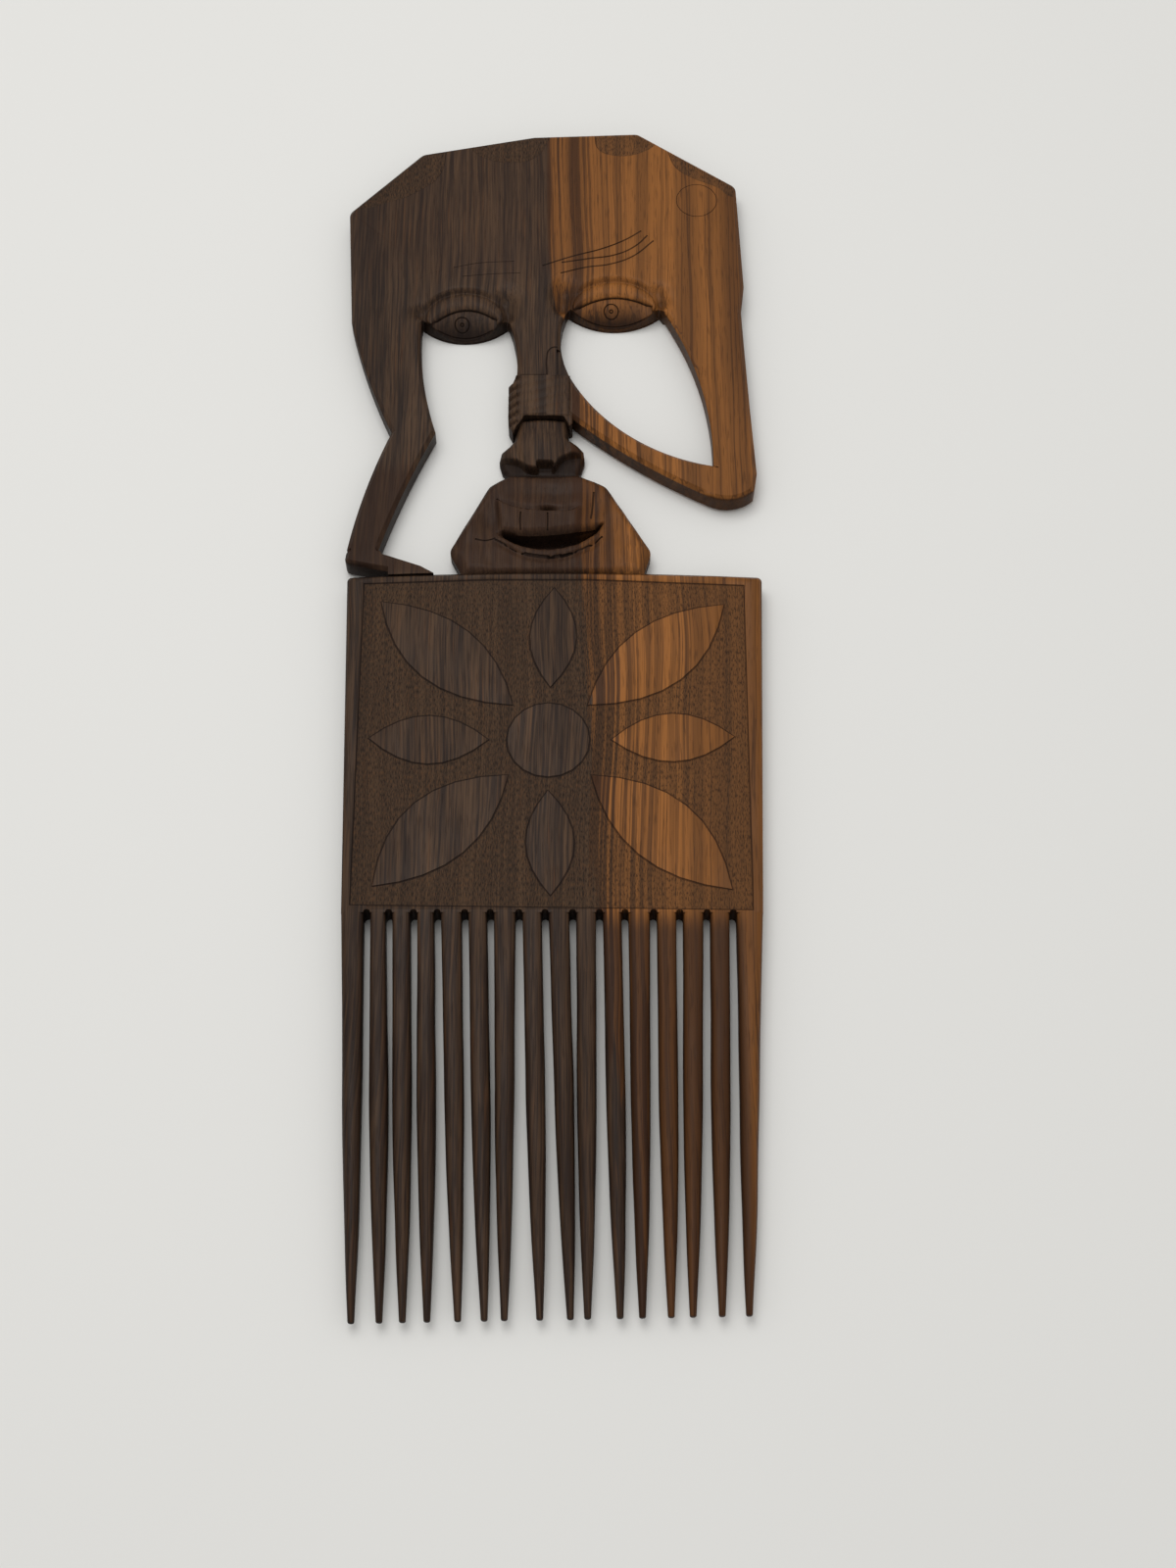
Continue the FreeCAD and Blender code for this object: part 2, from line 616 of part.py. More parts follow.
def thumb_outline(sketch):
    trace(sketch, [
        ("wrist_x", up("hand_top_up")),
        ("thumb_tip_x", up("thumb_top_up")),
        ("thumb_left_x", up("thumb_top_up")),
        ("thumb_left_x", up("hand_top_up")),
    ])


def make_bridge():
    left_in = (eye_corners("left")[1], up("left_eye_up"))
    right_in = (eye_corners("right")[0], up("right_eye_up"))
    foot_left = ("hand_left_x", up("hand_top_up"))
    body = saw("nose_bridge", [
        right_in,
        WRIST_TOP + edge_of("bridge", "right"),
        foot_left,
        left_in + edge_of("bridge", "left"),
    ], [(left_in, right_in), (foot_left, WRIST_TOP)])
    seat = levelled_sketch(body, "ThumbSeat", "board_thickness + hand_rise")
    thumb_outline(seat)
    pocket(body, "ThumbSeatCut", seat, "thumb_depth")
    return body


def make_hand():
    body = new_body("hand")
    back = new_sketch(body, "HandOutline")
    trace(back, [
        ("wrist_x", up("hand_top_up")),
        ("hand_left_x", up("hand_top_up")),
        ("finger_x", up("hand_top_up - (hand_left_x - finger_x)")),
        ("finger_x", up("hand_low_up")),
        ("wrist_x", up("hand_low_up")),
    ])
    pad(body, "HandPad", back, "board_thickness + hand_rise")
    left = number_of("finger_x")
    turn = number_of("hand_left_x")
    fillet(body, "Knuckles", "knuckle_round",
           lambda edge: middle_of(edge).x < (left + turn) / 2 + 1e-3 and middle_of(edge).z > 1
           and not upright(edge) and at_level(edge, FRONT + number_of("hand_rise")))
    cuts = levelled_sketch(body, "FingerCut", "board_thickness + hand_rise")
    top = up("hand_low_up + finger_pitch + finger_slant")
    trace(cuts, [
        ("finger_x - finger_cut", f"{top} - finger_slant"),
        ("finger_x + finger_cut_length", top),
        ("finger_x + finger_cut_length", f"{top} - finger_cut"),
        ("finger_x - finger_cut", f"{top} - finger_slant - finger_cut"),
    ])
    first = pocket(body, "FingerCutFirst", cuts, "finger_cut_depth")
    row = body.newObject("PartDesign::LinearPattern", "FingerCuts")
    row.Originals = [first]
    row.Direction = (plane(body, "Y_Axis"), [""])
    row.setExpression("Length", bound("(finger_cuts - 1) * finger_pitch"))
    row.setExpression("Occurrences", bound("finger_cuts"))
    body.Tip = row
    doc.recompute()
    thumb = levelled_sketch(body, "ThumbOutline", "board_thickness + hand_rise - thumb_depth")
    thumb_outline(thumb)
    pad(body, "ThumbPad", thumb, "thumb_depth")
    return body


def make_nose():
    body = new_body("nose")
    stations = [
        section(body, "NoseTop", "nose_neck_x", up("hand_low_up"), "nose_top_width",
                "0", "nose_top_depth", "nose_round"),
        section(body, "NoseNeck", "nose_neck_x", up("nose_neck_up"), "nose_neck_width",
                "0", "nose_neck_depth", "nose_round"),
        section(body, "NoseWings", "nose_wing_x", up("nose_wing_up"), "nose_wing_width",
                "0", "board_thickness", "nose_round"),
        section(body, "NoseBase", "nose_base_x", up("nose_base_up"), "nose_base_width",
                "0", "nose_base_depth", "nose_round"),
    ]
    loft(body, "NoseLoft", stations)
    nostrils = levelled_sketch(body, "Nostrils", "board_thickness")
    for sign in ("-", "+"):
        inner = f"nose_wing_x {sign} nostril_gap / 2"
        outer = f"nose_wing_x {sign} (nostril_gap / 2 + nostril_width)"
        middle = f"nose_wing_x {sign} (nostril_gap / 2 + nostril_width / 2)"
        trace(nostrils, [
            (outer, up("nostril_up"), middle, up("nostril_up + nostril_height / 2")),
            (inner, up("nostril_up"), middle, up("nostril_up - nostril_height / 2")),
        ])
    pocket(body, "NostrilCuts", nostrils, "nostril_depth")
    return body


def make_mouth():
    body = new_body("mouth")
    outline = new_sketch(body, "MuzzleOutline")
    base_left = "nose_base_x - nose_base_width / 2"
    base_right = "nose_base_x + nose_base_width / 2"
    shoulders = [("lip_left_x", up("lip_up")), ("jaw_left_x", up("jaw_up"))]
    right_side = [("jaw_right_x", up("jaw_up")), ("lip_right_x", up("lip_up"))]
    chin_mid = "(chin_left_x + chin_right_x) / 2"
    trace(outline, [(base_left, up("nose_base_up"))] + shoulders + [
        ("chin_left_x", shelf("chin_left_x")),
        ("chin_right_x", shelf("chin_right_x"), chin_mid, shelf(chin_mid)),
    ] + right_side + [(base_right, up("nose_base_up"))])
    pad(body, "MuzzlePad", outline, "mouth_depth")
    turns = [spot(*corner) for corner in shoulders + right_side]
    fillet(body, "MuzzleCorners", "jaw_round", lambda edge: upright(edge) and near_any(edge, turns, 1e-3))
    seam = number_of(up("nose_base_up"))
    chin = max(number_of(shelf("chin_left_x")), number_of(shelf("chin_right_x")), number_of(shelf(chin_mid)))
    depth = number_of("mouth_depth")
    ease(body, "MuzzleEdges", "edge_round", lambda edge: (at_level(edge, depth) or at_level(edge, BACK))
         and chin + 1e-3 < middle_of(edge).y < seam - 1e-3)
    left = up("mouth_left_up")
    right = up("mouth_right_up")
    lips = levelled_sketch(body, "Lips", "mouth_depth - edge_round")
    trace(lips, [
        ("mouth_left_x - lip_corner", left, "mouth_mid_x", up("lower_lip_up")),
        ("mouth_right_x + lip_corner", right, "mouth_mid_x", up("upper_lip_up")),
    ])
    pad(body, "LipsPad", lips, "lip_rise + edge_round")
    opening = levelled_sketch(body, "MouthOpening", "mouth_depth + lip_rise")
    trace(opening, [
        ("mouth_left_x", left, "mouth_mid_x", up("mouth_low_up")),
        ("mouth_right_x", right, "mouth_mid_x", up("mouth_top_up")),
    ])
    pocket(body, "MouthCut", opening, "mouth_cut + lip_rise")
    return body


pieces = [make_panel()]
for tooth_number in range(1, TEETH + 1):
    pieces.append(make_tooth(tooth_number))
pieces.append(make_leg("thigh", "hip", "thigh", "knee"))
pieces.append(make_leg("shin", "knee", "calf", "ankle"))
pieces.append(make_foot())
pieces.append(make_forehead())
pieces.append(make_upper_arm())
pieces.append(make_forearm())
pieces.append(make_eye("left"))
pieces.append(make_eye("right"))
pieces.append(make_bridge())
pieces.append(make_hand())
pieces.append(make_nose())
pieces.append(make_mouth())

doc.recompute()
for thing in doc.Objects:
    if "Invalid" in thing.State or "Error" in thing.State:
        raise RuntimeError(f"{thing.Label} did not rebuild: {thing.State}")
for piece in pieces:
    if piece.Shape.isNull() or not piece.Shape.isValid() or len(piece.Shape.Solids) != 1:
        raise RuntimeError(f"{piece.Label} is not one sound solid")

os.makedirs("parts", exist_ok=True)
for piece in pieces:
    piece.Shape.exportStep(f"parts/{piece.Label}.step")
    box = piece.Shape.BoundBox
    print(f"{piece.Label}: {piece.Shape.Volume:.0f} mm3, X {box.XMin:.1f} to {box.XMax:.1f}, "
          f"Y {box.YMin:.1f} to {box.YMax:.1f}, Z {box.ZMin:.1f} to {box.ZMax:.1f}")
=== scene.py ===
"""Dresses the carved wooden hair pick: pierced head, engraved panel, whittled teeth and a stage.

Places in the lists below are millimetres in the part's own frame: X across the comb, Y from the
teeth to the crown, Z out of the carved front, with the origin in the middle of the panel's back.
"""

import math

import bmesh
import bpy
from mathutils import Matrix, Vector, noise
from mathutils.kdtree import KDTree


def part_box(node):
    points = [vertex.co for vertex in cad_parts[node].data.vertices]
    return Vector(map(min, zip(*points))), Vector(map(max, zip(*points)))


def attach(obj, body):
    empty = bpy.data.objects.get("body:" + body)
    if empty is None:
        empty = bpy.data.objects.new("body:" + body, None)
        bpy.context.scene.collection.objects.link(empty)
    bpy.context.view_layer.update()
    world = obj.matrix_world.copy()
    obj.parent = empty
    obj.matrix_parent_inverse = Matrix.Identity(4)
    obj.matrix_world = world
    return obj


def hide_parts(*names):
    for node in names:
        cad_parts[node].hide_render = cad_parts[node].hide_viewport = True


bl_info = {
    "name": "Carved Hair Pick",
    "version": (1, 0, 0),
    "blender": (4, 5, 0),
    "location": "View3D > Sidebar > Pick",
    "description": "Carves and finishes the wooden hair pick around its solid frame",
    "category": "Object",
}

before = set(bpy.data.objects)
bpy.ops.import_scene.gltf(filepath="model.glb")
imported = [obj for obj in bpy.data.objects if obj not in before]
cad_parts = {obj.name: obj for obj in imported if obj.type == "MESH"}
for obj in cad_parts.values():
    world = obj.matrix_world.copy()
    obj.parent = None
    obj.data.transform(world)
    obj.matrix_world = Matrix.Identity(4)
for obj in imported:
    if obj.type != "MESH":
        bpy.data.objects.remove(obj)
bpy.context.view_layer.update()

MM = 0.001
WELD = 1e-6
BODY = "root"
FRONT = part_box("comb_panel")[1].z / MM
# Level clear of the front, and the least cut that still counts as carved.
ABOVE = FRONT + 1
SKIM = 0.01
# Rounds of rubbing down.
SOFTENING = 2
TEETH = sorted(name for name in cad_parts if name.startswith("tooth_"))
PLATE = ("forehead", "thigh", "shin", "foot", "upper_arm", "forearm", "nose_bridge")


def linear(text):
    """An sRGB hex colour as linear RGBA."""
    parts = [int(text[place:place + 2], 16) / 255 for place in (1, 3, 5)]
    return tuple(p / 12.92 if p <= 0.04045 else ((p + 0.055) / 1.055) ** 2.4 for p in parts) + (1.0,)


def length(name, description, size):
    """A length that a user may change, given in millimetres."""
    return bpy.props.FloatProperty(
        name=name, description=description, default=size * MM, unit="LENGTH", precision=5)


def tint(name, description, code):
    """A colour that a user may change."""
    return bpy.props.FloatVectorProperty(
        name=name, description=description, default=linear(code), subtype="COLOR", size=4)


class PickSizes(bpy.types.PropertyGroup):
    """Sizes of the carver's work."""
    detail_voxel: length("Feature grain", "Mesh spacing of eyes, hand, nose and mouth", 0.26)
    line_width: length("Line width", "Width of a knife-cut line", 0.7)
    ground_depth: length("Ground depth", "How far the punched ground lies under the polished wood", 0.25)
    tooth_sides: bpy.props.IntProperty(name="Tooth sides", description="Faces round a tooth", default=28)


class PickColours(bpy.types.PropertyGroup):
    """Colours of the wood and of the floor."""
    heart: tint("Heartwood", "Dark side of the plank", "#2b201a")
    heart_light: tint("Heartwood streaks", "Paler streaks of the dark side", "#523d2c")
    fleck: tint("Flecks", "Orange flecks in the dark side", "#6a4426")
    brown: tint("Brown wood", "Darker bands of the brown side", "#66401f")
    brown_light: tint("Brown wood bands", "Orange bands of the brown side", "#915c2c")
    stripe: tint("Stripes", "Dark growth lines of the brown side", "#352013")
    punched: tint("Punched ground", "Bruised wood of the punched ground", "#48382a")
    # Dark wax and dust in the cuts, also used as painted shade on side walls, in deep hollows and in the
    # knife lines.
    wax_and_shade: tint("Old wax", "Dark wax and dust in the cuts", "#1a110d")
    floor: tint("Floor", "Pale floor under the pick", "#e0dfdb")


# Shared modelling steps

def new_piece(name, data):
    piece = bpy.data.objects.new(name, data)
    bpy.context.scene.collection.objects.link(piece)
    return piece


def piece_from(name, work):
    """An object of a finished bmesh."""
    mesh = bpy.data.meshes.new(name)
    work.to_mesh(mesh)
    work.free()
    return new_piece(name, mesh)


def welded_copy(node):
    """A node's solid as a bmesh, with its loose triangles merged."""
    work = bmesh.new()
    work.from_mesh(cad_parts[node].data)
    bmesh.ops.remove_doubles(work, verts=work.verts, dist=WELD)
    return work


def blank(node, level):
    """A node's solid with its front half filled out to one flat level, ready for the knife."""
    work = welded_copy(node)
    middle = FRONT / 2 * MM
    for vert in work.verts:
        if vert.co.z > middle:
            vert.co.z = level * MM
    return piece_from(f"{node}_carving", work)


def baked(piece):
    """Mesh of a curve, or of a piece with its modifiers."""
    graph = bpy.context.evaluated_depsgraph_get()
    return bpy.data.meshes.new_from_object(piece.evaluated_get(graph), depsgraph=graph)


def settle(piece):
    """Bakes the modifiers of a piece into its mesh."""
    mesh = baked(piece)
    piece.modifiers.clear()
    piece.data = mesh


def remesh(piece, voxel):
    """Gives a piece one closed skin of even faces, fine enough to carve."""
    skin = piece.modifiers.new("Skin", "REMESH")
    skin.mode = "VOXEL"
    skin.voxel_size = voxel
    settle(piece)


def carve(piece, height):
    """Takes wood away from above, down to height(x, y)."""
    for vert in piece.data.vertices:
        level = height(vert.co.x / MM, vert.co.y / MM) * MM
        vert.co.z = max(min(vert.co.z, level), 0.0)


def soften(piece, rounds):
    """Rubs the tool marks down, and merges the faces that carving has folded flat."""
    work = bmesh.new()
    work.from_mesh(piece.data)
    for _ in range(rounds):
        bmesh.ops.smooth_vert(work, verts=work.verts, factor=0.5,
                              use_axis_x=True, use_axis_y=True, use_axis_z=True)
    bmesh.ops.dissolve_degenerate(work, dist=WELD, edges=work.edges)
    work.to_mesh(piece.data)
    work.free()


def combine(piece, other, operation):
    """Joins or cuts a piece with another closed shape, whose faces keep their own material."""
    tool = piece.modifiers.new("Knife", "BOOLEAN")
    tool.operation = operation
    tool.solver = "MANIFOLD"
    tool.material_mode = "TRANSFER"
    tool.object = other
    settle(piece)
    bpy.data.objects.remove(other)
    if not piece.data.polygons:
        raise RuntimeError(f"{piece.name}: no wood is left after the cut")


def wooden(piece, material):
    piece.data.materials.clear()
    piece.data.materials.append(material)
    return piece


def edge_finder(piece):
    """A measure of how far a place lies from the side walls of a piece, in millimetres."""
    walls = [vert.co for vert in piece.data.vertices if abs(vert.normal.z) < 0.4]
    tree = KDTree(len(walls))
    for number, place in enumerate(walls):
        tree.insert((place.x, place.y, 0), number)
    tree.balance()
    return lambda x, y: tree.find((x * MM, y * MM, 0))[2] / MM


def finish_piece(piece, nodes, angle):
    """Shades a piece smooth up to that angle, and puts it in the place of its solids."""
    piece.data.shade_smooth()
    piece.data.set_sharp_from_angle(angle=math.radians(angle))
    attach(piece, BODY)
    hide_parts(*nodes)


def join_flats(piece):
    """Merges faces that lie in one plane, so that no seam of the joined solids shows."""
    work = bmesh.new()
    work.from_mesh(piece.data)
    bmesh.ops.dissolve_limit(work, angle_limit=math.radians(0.3), verts=work.verts, edges=work.edges)
    work.to_mesh(piece.data)
    work.free()


def keep_flats(piece):
    """Keeps the shading of broad flat faces flat beside their rounded edges."""
    even = piece.modifiers.new("Flats", "WEIGHTED_NORMAL")
    even.keep_sharp = True


def closed_mesh_of(name, curve, material, lift=0.0):
    """A curve made a closed mesh, with its caps merged to its walls."""
    holder = new_piece(name, curve)
    work = bmesh.new()
    work.from_mesh(baked(holder))
    bpy.data.objects.remove(holder)
    bmesh.ops.remove_doubles(work, verts=work.verts, dist=WELD)
    bmesh.ops.recalc_face_normals(work, faces=work.faces)
    bmesh.ops.translate(work, vec=(0, 0, lift), verts=work.verts)
    return wooden(piece_from(name, work), material)


def add_stroke(curve, points, height, closed, handle):
    stroke = curve.splines.new("BEZIER")
    stroke.bezier_points.add(len(points) - 1)
    for knot, (x, y) in zip(stroke.bezier_points, points):
        knot.co = (x * MM, y * MM, height(x, y) * MM)
        knot.handle_left_type = handle
        knot.handle_right_type = handle
    stroke.use_cyclic_u = closed


def traced(points, steps=5):
    """A line through given points, with more points added, so that it follows a carved surface."""
    spots = [Vector(point) for point in points]
    spots = [spots[0]] + spots + [spots[-1]]
    fine = []
    for before, start, end, after in zip(spots, spots[1:], spots[2:], spots[3:]):
        for number in range(steps):
            share = number / steps
            leaving = (end - before) / 2 * share * (1 - share) ** 2
            arriving = (after - start) / 2 * share ** 2 * (1 - share)
            fine.append(start.lerp(end, share * share * (3 - 2 * share)) + (leaving - arriving))
    return [tuple(spot) for spot in fine] + [points[-1]]


def rounding(distance, reach, depth):
    """How far wood is rounded away at a distance from an edge."""
    return depth * (1 - min(distance / reach, 1.0)) ** 2


def flat_front(x, y):
    return FRONT


def line_cutter(stroke, width, material, height):
    """A round gouge along a stroke on the carved front: (points, closed, handle type)."""
    points, closed, handle = stroke
    curve = bpy.data.curves.new("stroke", "CURVE")
    curve.dimensions = "3D"
    curve.bevel_depth = width / 2
    curve.bevel_resolution = 1
    curve.use_fill_caps = True
    curve.resolution_u = 8
    add_stroke(curve, points, height, closed, handle)
    return closed_mesh_of("stroke", curve, material)


def cut_lines(piece, strokes, width, material, height=flat_front):
    """Cuts knife lines into a piece, one stroke after another."""
    for stroke in strokes:
        combine(piece, line_cutter(stroke, width, material, height), "DIFFERENCE")


def slab(name, outlines, low, high, material):
    """A flat block between two levels: the first outline less the ones inside it."""
    curve = bpy.data.curves.new(name, "CURVE")
    curve.dimensions = "2D"
    curve.fill_mode = "BOTH"
    curve.extrude = (high - low) / 2 * MM
    curve.resolution_u = 8
    for points, closed, handle in outlines:
        add_stroke(curve, points, lambda x, y: 0.0, closed, handle)
    return closed_mesh_of(name, curve, material, lift=(low + high) / 2 * MM)


def step(low, high, at):
    """Smooth rise from 0 at low to 1 at high."""
    share = min(max((at - low) / (high - low), 0.0), 1.0)
    return share * share * (3 - 2 * share)


def mix(first, second, share):
    return first + (second - first) * share


def hump(distance, reach):
    """1 at distance 0, fading to nothing past about twice the reach."""
    return math.exp(-(distance / reach) ** 2)


def glide(stops, values, at):
    """Smooth curve through (stop, value) pairs, as a carver fairs an edge."""
    place = 0
    while place < len(stops) - 2 and at > stops[place + 1]:
        place += 1
    span = stops[place + 1] - stops[place]
    share = min(max((at - stops[place]) / span, 0.0), 1.0)

    def lean(index):
        before = max(index - 1, 0)
        after = min(index + 1, len(stops) - 1)
        return (values[after] - values[before]) / (stops[after] - stops[before]) * span

    square = share * share
    cube = square * share
    return ((2 * cube - 3 * square + 1) * values[place] + (cube - 2 * square + share) * lean(place)
            + (3 * square - 2 * cube) * values[place + 1] + (cube - square) * lean(place + 1))


def bow(x, left, peak, right):
    """Height at x of a bow from a left corner over a peak to a right corner."""
    share = (x - left[0]) / (right[0] - left[0])
    turn = (peak[0] - left[0]) / (right[0] - left[0])
    chord = mix(left[1], right[1], share)
    rise = peak[1] - mix(left[1], right[1], turn)
    return chord + rise * 4 * share * (1 - share)


def along(points, x):
    """Height at x of a line drawn through a few given points, level beyond its ends."""
    return glide(*zip(*points), x)


# Materials

def add_node(tree, kind, settings, inputs):
    """Adds a node, sets its properties, and fills its inputs with values, sockets or nodes."""
    made = tree.nodes.new(kind)
    for name, value in settings.items():
        setattr(made, name, value)
    for name, value in inputs.items():
        if isinstance(value, bpy.types.Node):
            value = next(output for output in value.outputs if output.enabled)
        if isinstance(value, bpy.types.NodeSocket):
            tree.links.new(value, made.inputs[name])
        else:
            made.inputs[name].default_value = value
    return made


# Streaks in the wood: width across, length along and thickness into the plank in millimetres, and the
# detail of the noise.
SWAY = (90, 160, 90, 2.0)
WAVES = (20, 46, 20, 1.0)
BANDS = (11, 900, 18, 2.0)
STRIPES = (1.5, 260, 5, 3.0)
LINES = (2.6, 420, 6, 1.0)
HAIRS = (0.6, 26, 1.6, 3.0)
PORES = (0.42, 8, 0.5, 1.0)
FLECKS = (0.9, 26, 4, 1.0)
WORN_PATCHES = (14, 40, 14, 2.0)
HATCH = (0.27, 1.5, 0.6, 2.0)
# How far the grain sways and waves to each side.
SWAY_REACH = 4.0
WAVE_REACH = 1.4
# Values of the pores' noise between which a pore opens.
PORE_OPENING = (0.58, 0.70)
# Where the dark heartwood ends: height along the plank and the place across it, in millimetres.
HEART_EDGE = ((-175, 24), (-56, 14), (56, 8), (84, 6), (128, 5), (150, 3), (163, -1), (232, -3.4))
EDGE_LOW = -200.0
EDGE_HIGH = 240.0
EDGE_REACH = 40.0
EDGE_BLUR = 0.5
# How far the heartwood's edge is ragged: from a height with its reach to another with its own.
RAGGED = ((40, 14), (160, 2.4))


def streaks(tree, place, width, length, thickness, detail):
    """Noise drawn out along the grain."""
    scale = (1 / (width * MM), 1 / (length * MM), 1 / (thickness * MM))
    spread = add_node(tree, "ShaderNodeMapping", {}, {"Vector": place, "Scale": scale})
    return add_node(tree, "ShaderNodeTexNoise", {}, {
        "Vector": spread, "Scale": 1.0, "Detail": detail, "Roughness": 0.55})


def coat(tree, under, tint, *ranges):
    """Lays a colour over another where all ranges hold: (value, low, high, share at low, share at high)."""
    cover = None
    for value, low, high, first, second in ranges:
        part = add_node(tree, "ShaderNodeMapRange", {"interpolation_type": "SMOOTHSTEP"}, {
            "Value": value, "From Min": low, "From Max": high, "To Min": first, "To Max": second})
        if cover is not None:
            part = add_node(tree, "ShaderNodeMath", {"operation": "MULTIPLY"}, {0: cover, 1: part})
        cover = part
    return add_node(tree, "ShaderNodeMix", {"data_type": "RGBA"}, {0: cover, 6: under, 7: tint})


def swayed_grain(tree, place):
    """Places that wander across the plank, so that the grain isn't ruler straight."""
    drift = 0.0
    for pattern, reach in ((SWAY, SWAY_REACH), (WAVES, WAVE_REACH)):
        wander = add_node(tree, "ShaderNodeMapRange", {}, {
            "Value": streaks(tree, place, *pattern), "To Min": -reach * MM, "To Max": reach * MM})
        drift = add_node(tree, "ShaderNodeMath", {"operation": "ADD"}, {0: drift, 1: wander})
    shift = add_node(tree, "ShaderNodeCombineXYZ", {}, {"X": drift})
    return add_node(tree, "ShaderNodeVectorMath", {"operation": "ADD"}, {0: place, 1: shift})


def heart_edge(tree, y):
    """Place of the heartwood's edge across the plank, in metres, at a height along it."""
    share = add_node(tree, "ShaderNodeMapRange", {}, {
        "Value": y, "From Min": EDGE_LOW * MM, "From Max": EDGE_HIGH * MM})
    line = add_node(tree, "ShaderNodeFloatCurve", {}, {"Value": share})
    curve = line.mapping.curves[0]
    marks = [((height - EDGE_LOW) / (EDGE_HIGH - EDGE_LOW), 0.5 + across / (2 * EDGE_REACH))
             for height, across in HEART_EDGE]
    curve.points[0].location = (0.0, marks[0][1])
    curve.points[1].location = (1.0, marks[-1][1])
    for mark in marks:
        curve.points.new(*mark)
    line.mapping.update()
    return add_node(tree, "ShaderNodeMapRange", {}, {
        "Value": line, "To Min": -EDGE_REACH * MM, "To Max": EDGE_REACH * MM})


def heartwood(tree, colours, grain, stripes, hairs):
    """Dark side: fine paler streaks and a few orange flecks."""
    broad = add_node(tree, "ShaderNodeMath", {"operation": "MULTIPLY"}, {0: stripes, 1: 0.4})
    streak = add_node(tree, "ShaderNodeMath", {"operation": "MULTIPLY_ADD"}, {0: hairs, 1: 0.6, 2: broad})
    colour = coat(tree, colours.heart, colours.heart_light, (streak, 0.38, 0.66, 0.0, 1.0))
    return coat(tree, colour, colours.fleck, (streaks(tree, grain, *FLECKS), 0.58, 0.78, 0.0, 0.3))


def striped_wood(tree, colours, grain, stripes, hairs, inland):
    """Orange-brown side: broad bands, stripes that crowd near the heartwood, and thin growth lines."""
    bands = streaks(tree, grain, *BANDS)
    lines = streaks(tree, grain, *LINES)
    colour = coat(tree, colours.brown, colours.brown_light, (bands, 0.30, 0.66, 0.0, 1.0))
    colour = coat(tree, colour, colours.brown, (stripes, 0.45, 0.60, 0.0, 0.7))
    colour = coat(tree, colour, colours.stripe,
                  (inland, 0.0, 26 * MM, 0.9, 0.0), (stripes, 0.42, 0.56, 0.0, 1.0))
    off_line = add_node(tree, "ShaderNodeMath", {"operation": "SUBTRACT"}, {0: lines, 1: 0.5})
    crossing = add_node(tree, "ShaderNodeMath", {"operation": "ABSOLUTE"}, {0: off_line})
    colour = coat(tree, colour, colours.stripe, (crossing, 0.005, 0.026, 0.55, 0.0))
    return coat(tree, colour, colours.stripe, (hairs, 0.52, 0.68, 0.0, 0.3))


def dark_zones_and_painted_shade(tree, colour, colours, axes, facing, side):
    """Darker muzzle, brow, left side and teeth; a darker right rim, partly dark streaks and partly painted
    shade of its eased edge; painted shade on side walls and in deep hollows.
    """
    x, y, z = axes
    front = add_node(tree, "ShaderNodeSeparateXYZ", {}, {"Vector": facing}).outputs["Z"]
    upright = add_node(tree, "ShaderNodeMath", {"operation": "ABSOLUTE"}, {0: front})
    head = (y, 56 * MM, 59 * MM, 0.0, 1.0)
    teeth = (y, -53 * MM, -63 * MM, 0.0, 1.0)
    inner_teeth = (x, 53 * MM, 57 * MM, 1.0, 0.0)
    for tint, ranges in (
            (colours.stripe, (head, (y, 100 * MM, 92 * MM, 0.0, 1.0), (x, 16 * MM, 24 * MM, 0.55, 0.0))),
            # Darker band along the right rim of the head: partly painted shade of its eased edge, partly
            # its dark streaks.
            (colours.stripe, ((y, 96 * MM, 150 * MM, 0.0, 1.0), (x, 50 * MM, 62 * MM, 0.0, 0.55))),
            (colours.stripe, ((y, 164 * MM, 178 * MM, 0.0, 1.0), (x, 36 * MM, 22 * MM, 0.0, 0.2))),
            (colours.wax_and_shade, ((x, -34 * MM, -58 * MM, 0.0, 0.24),)),
            # Painted shade: walls that turn away from the front are darkened by their facing.
            (colours.wax_and_shade, ((upright, 0.1, 0.8, 0.74, 0.0),)),
            # Painted shade in the hollows: front faces darken the deeper they lie under the front (open
            # mouth, nostrils, eye corners).
            (colours.wax_and_shade, (head, (z, 2.4 * MM, 7.6 * MM, 0.92, 0.0), (front, 0.2, 0.6, 0.0, 1.0))),
            (colours.stripe, (teeth, inner_teeth, (*side, 0.1, 0.72))),
            (colours.wax_and_shade, ((y, -53 * MM, -63 * MM, 0.0, 0.24), inner_teeth))):
        colour = coat(tree, colour, tint, *ranges)
    return colour


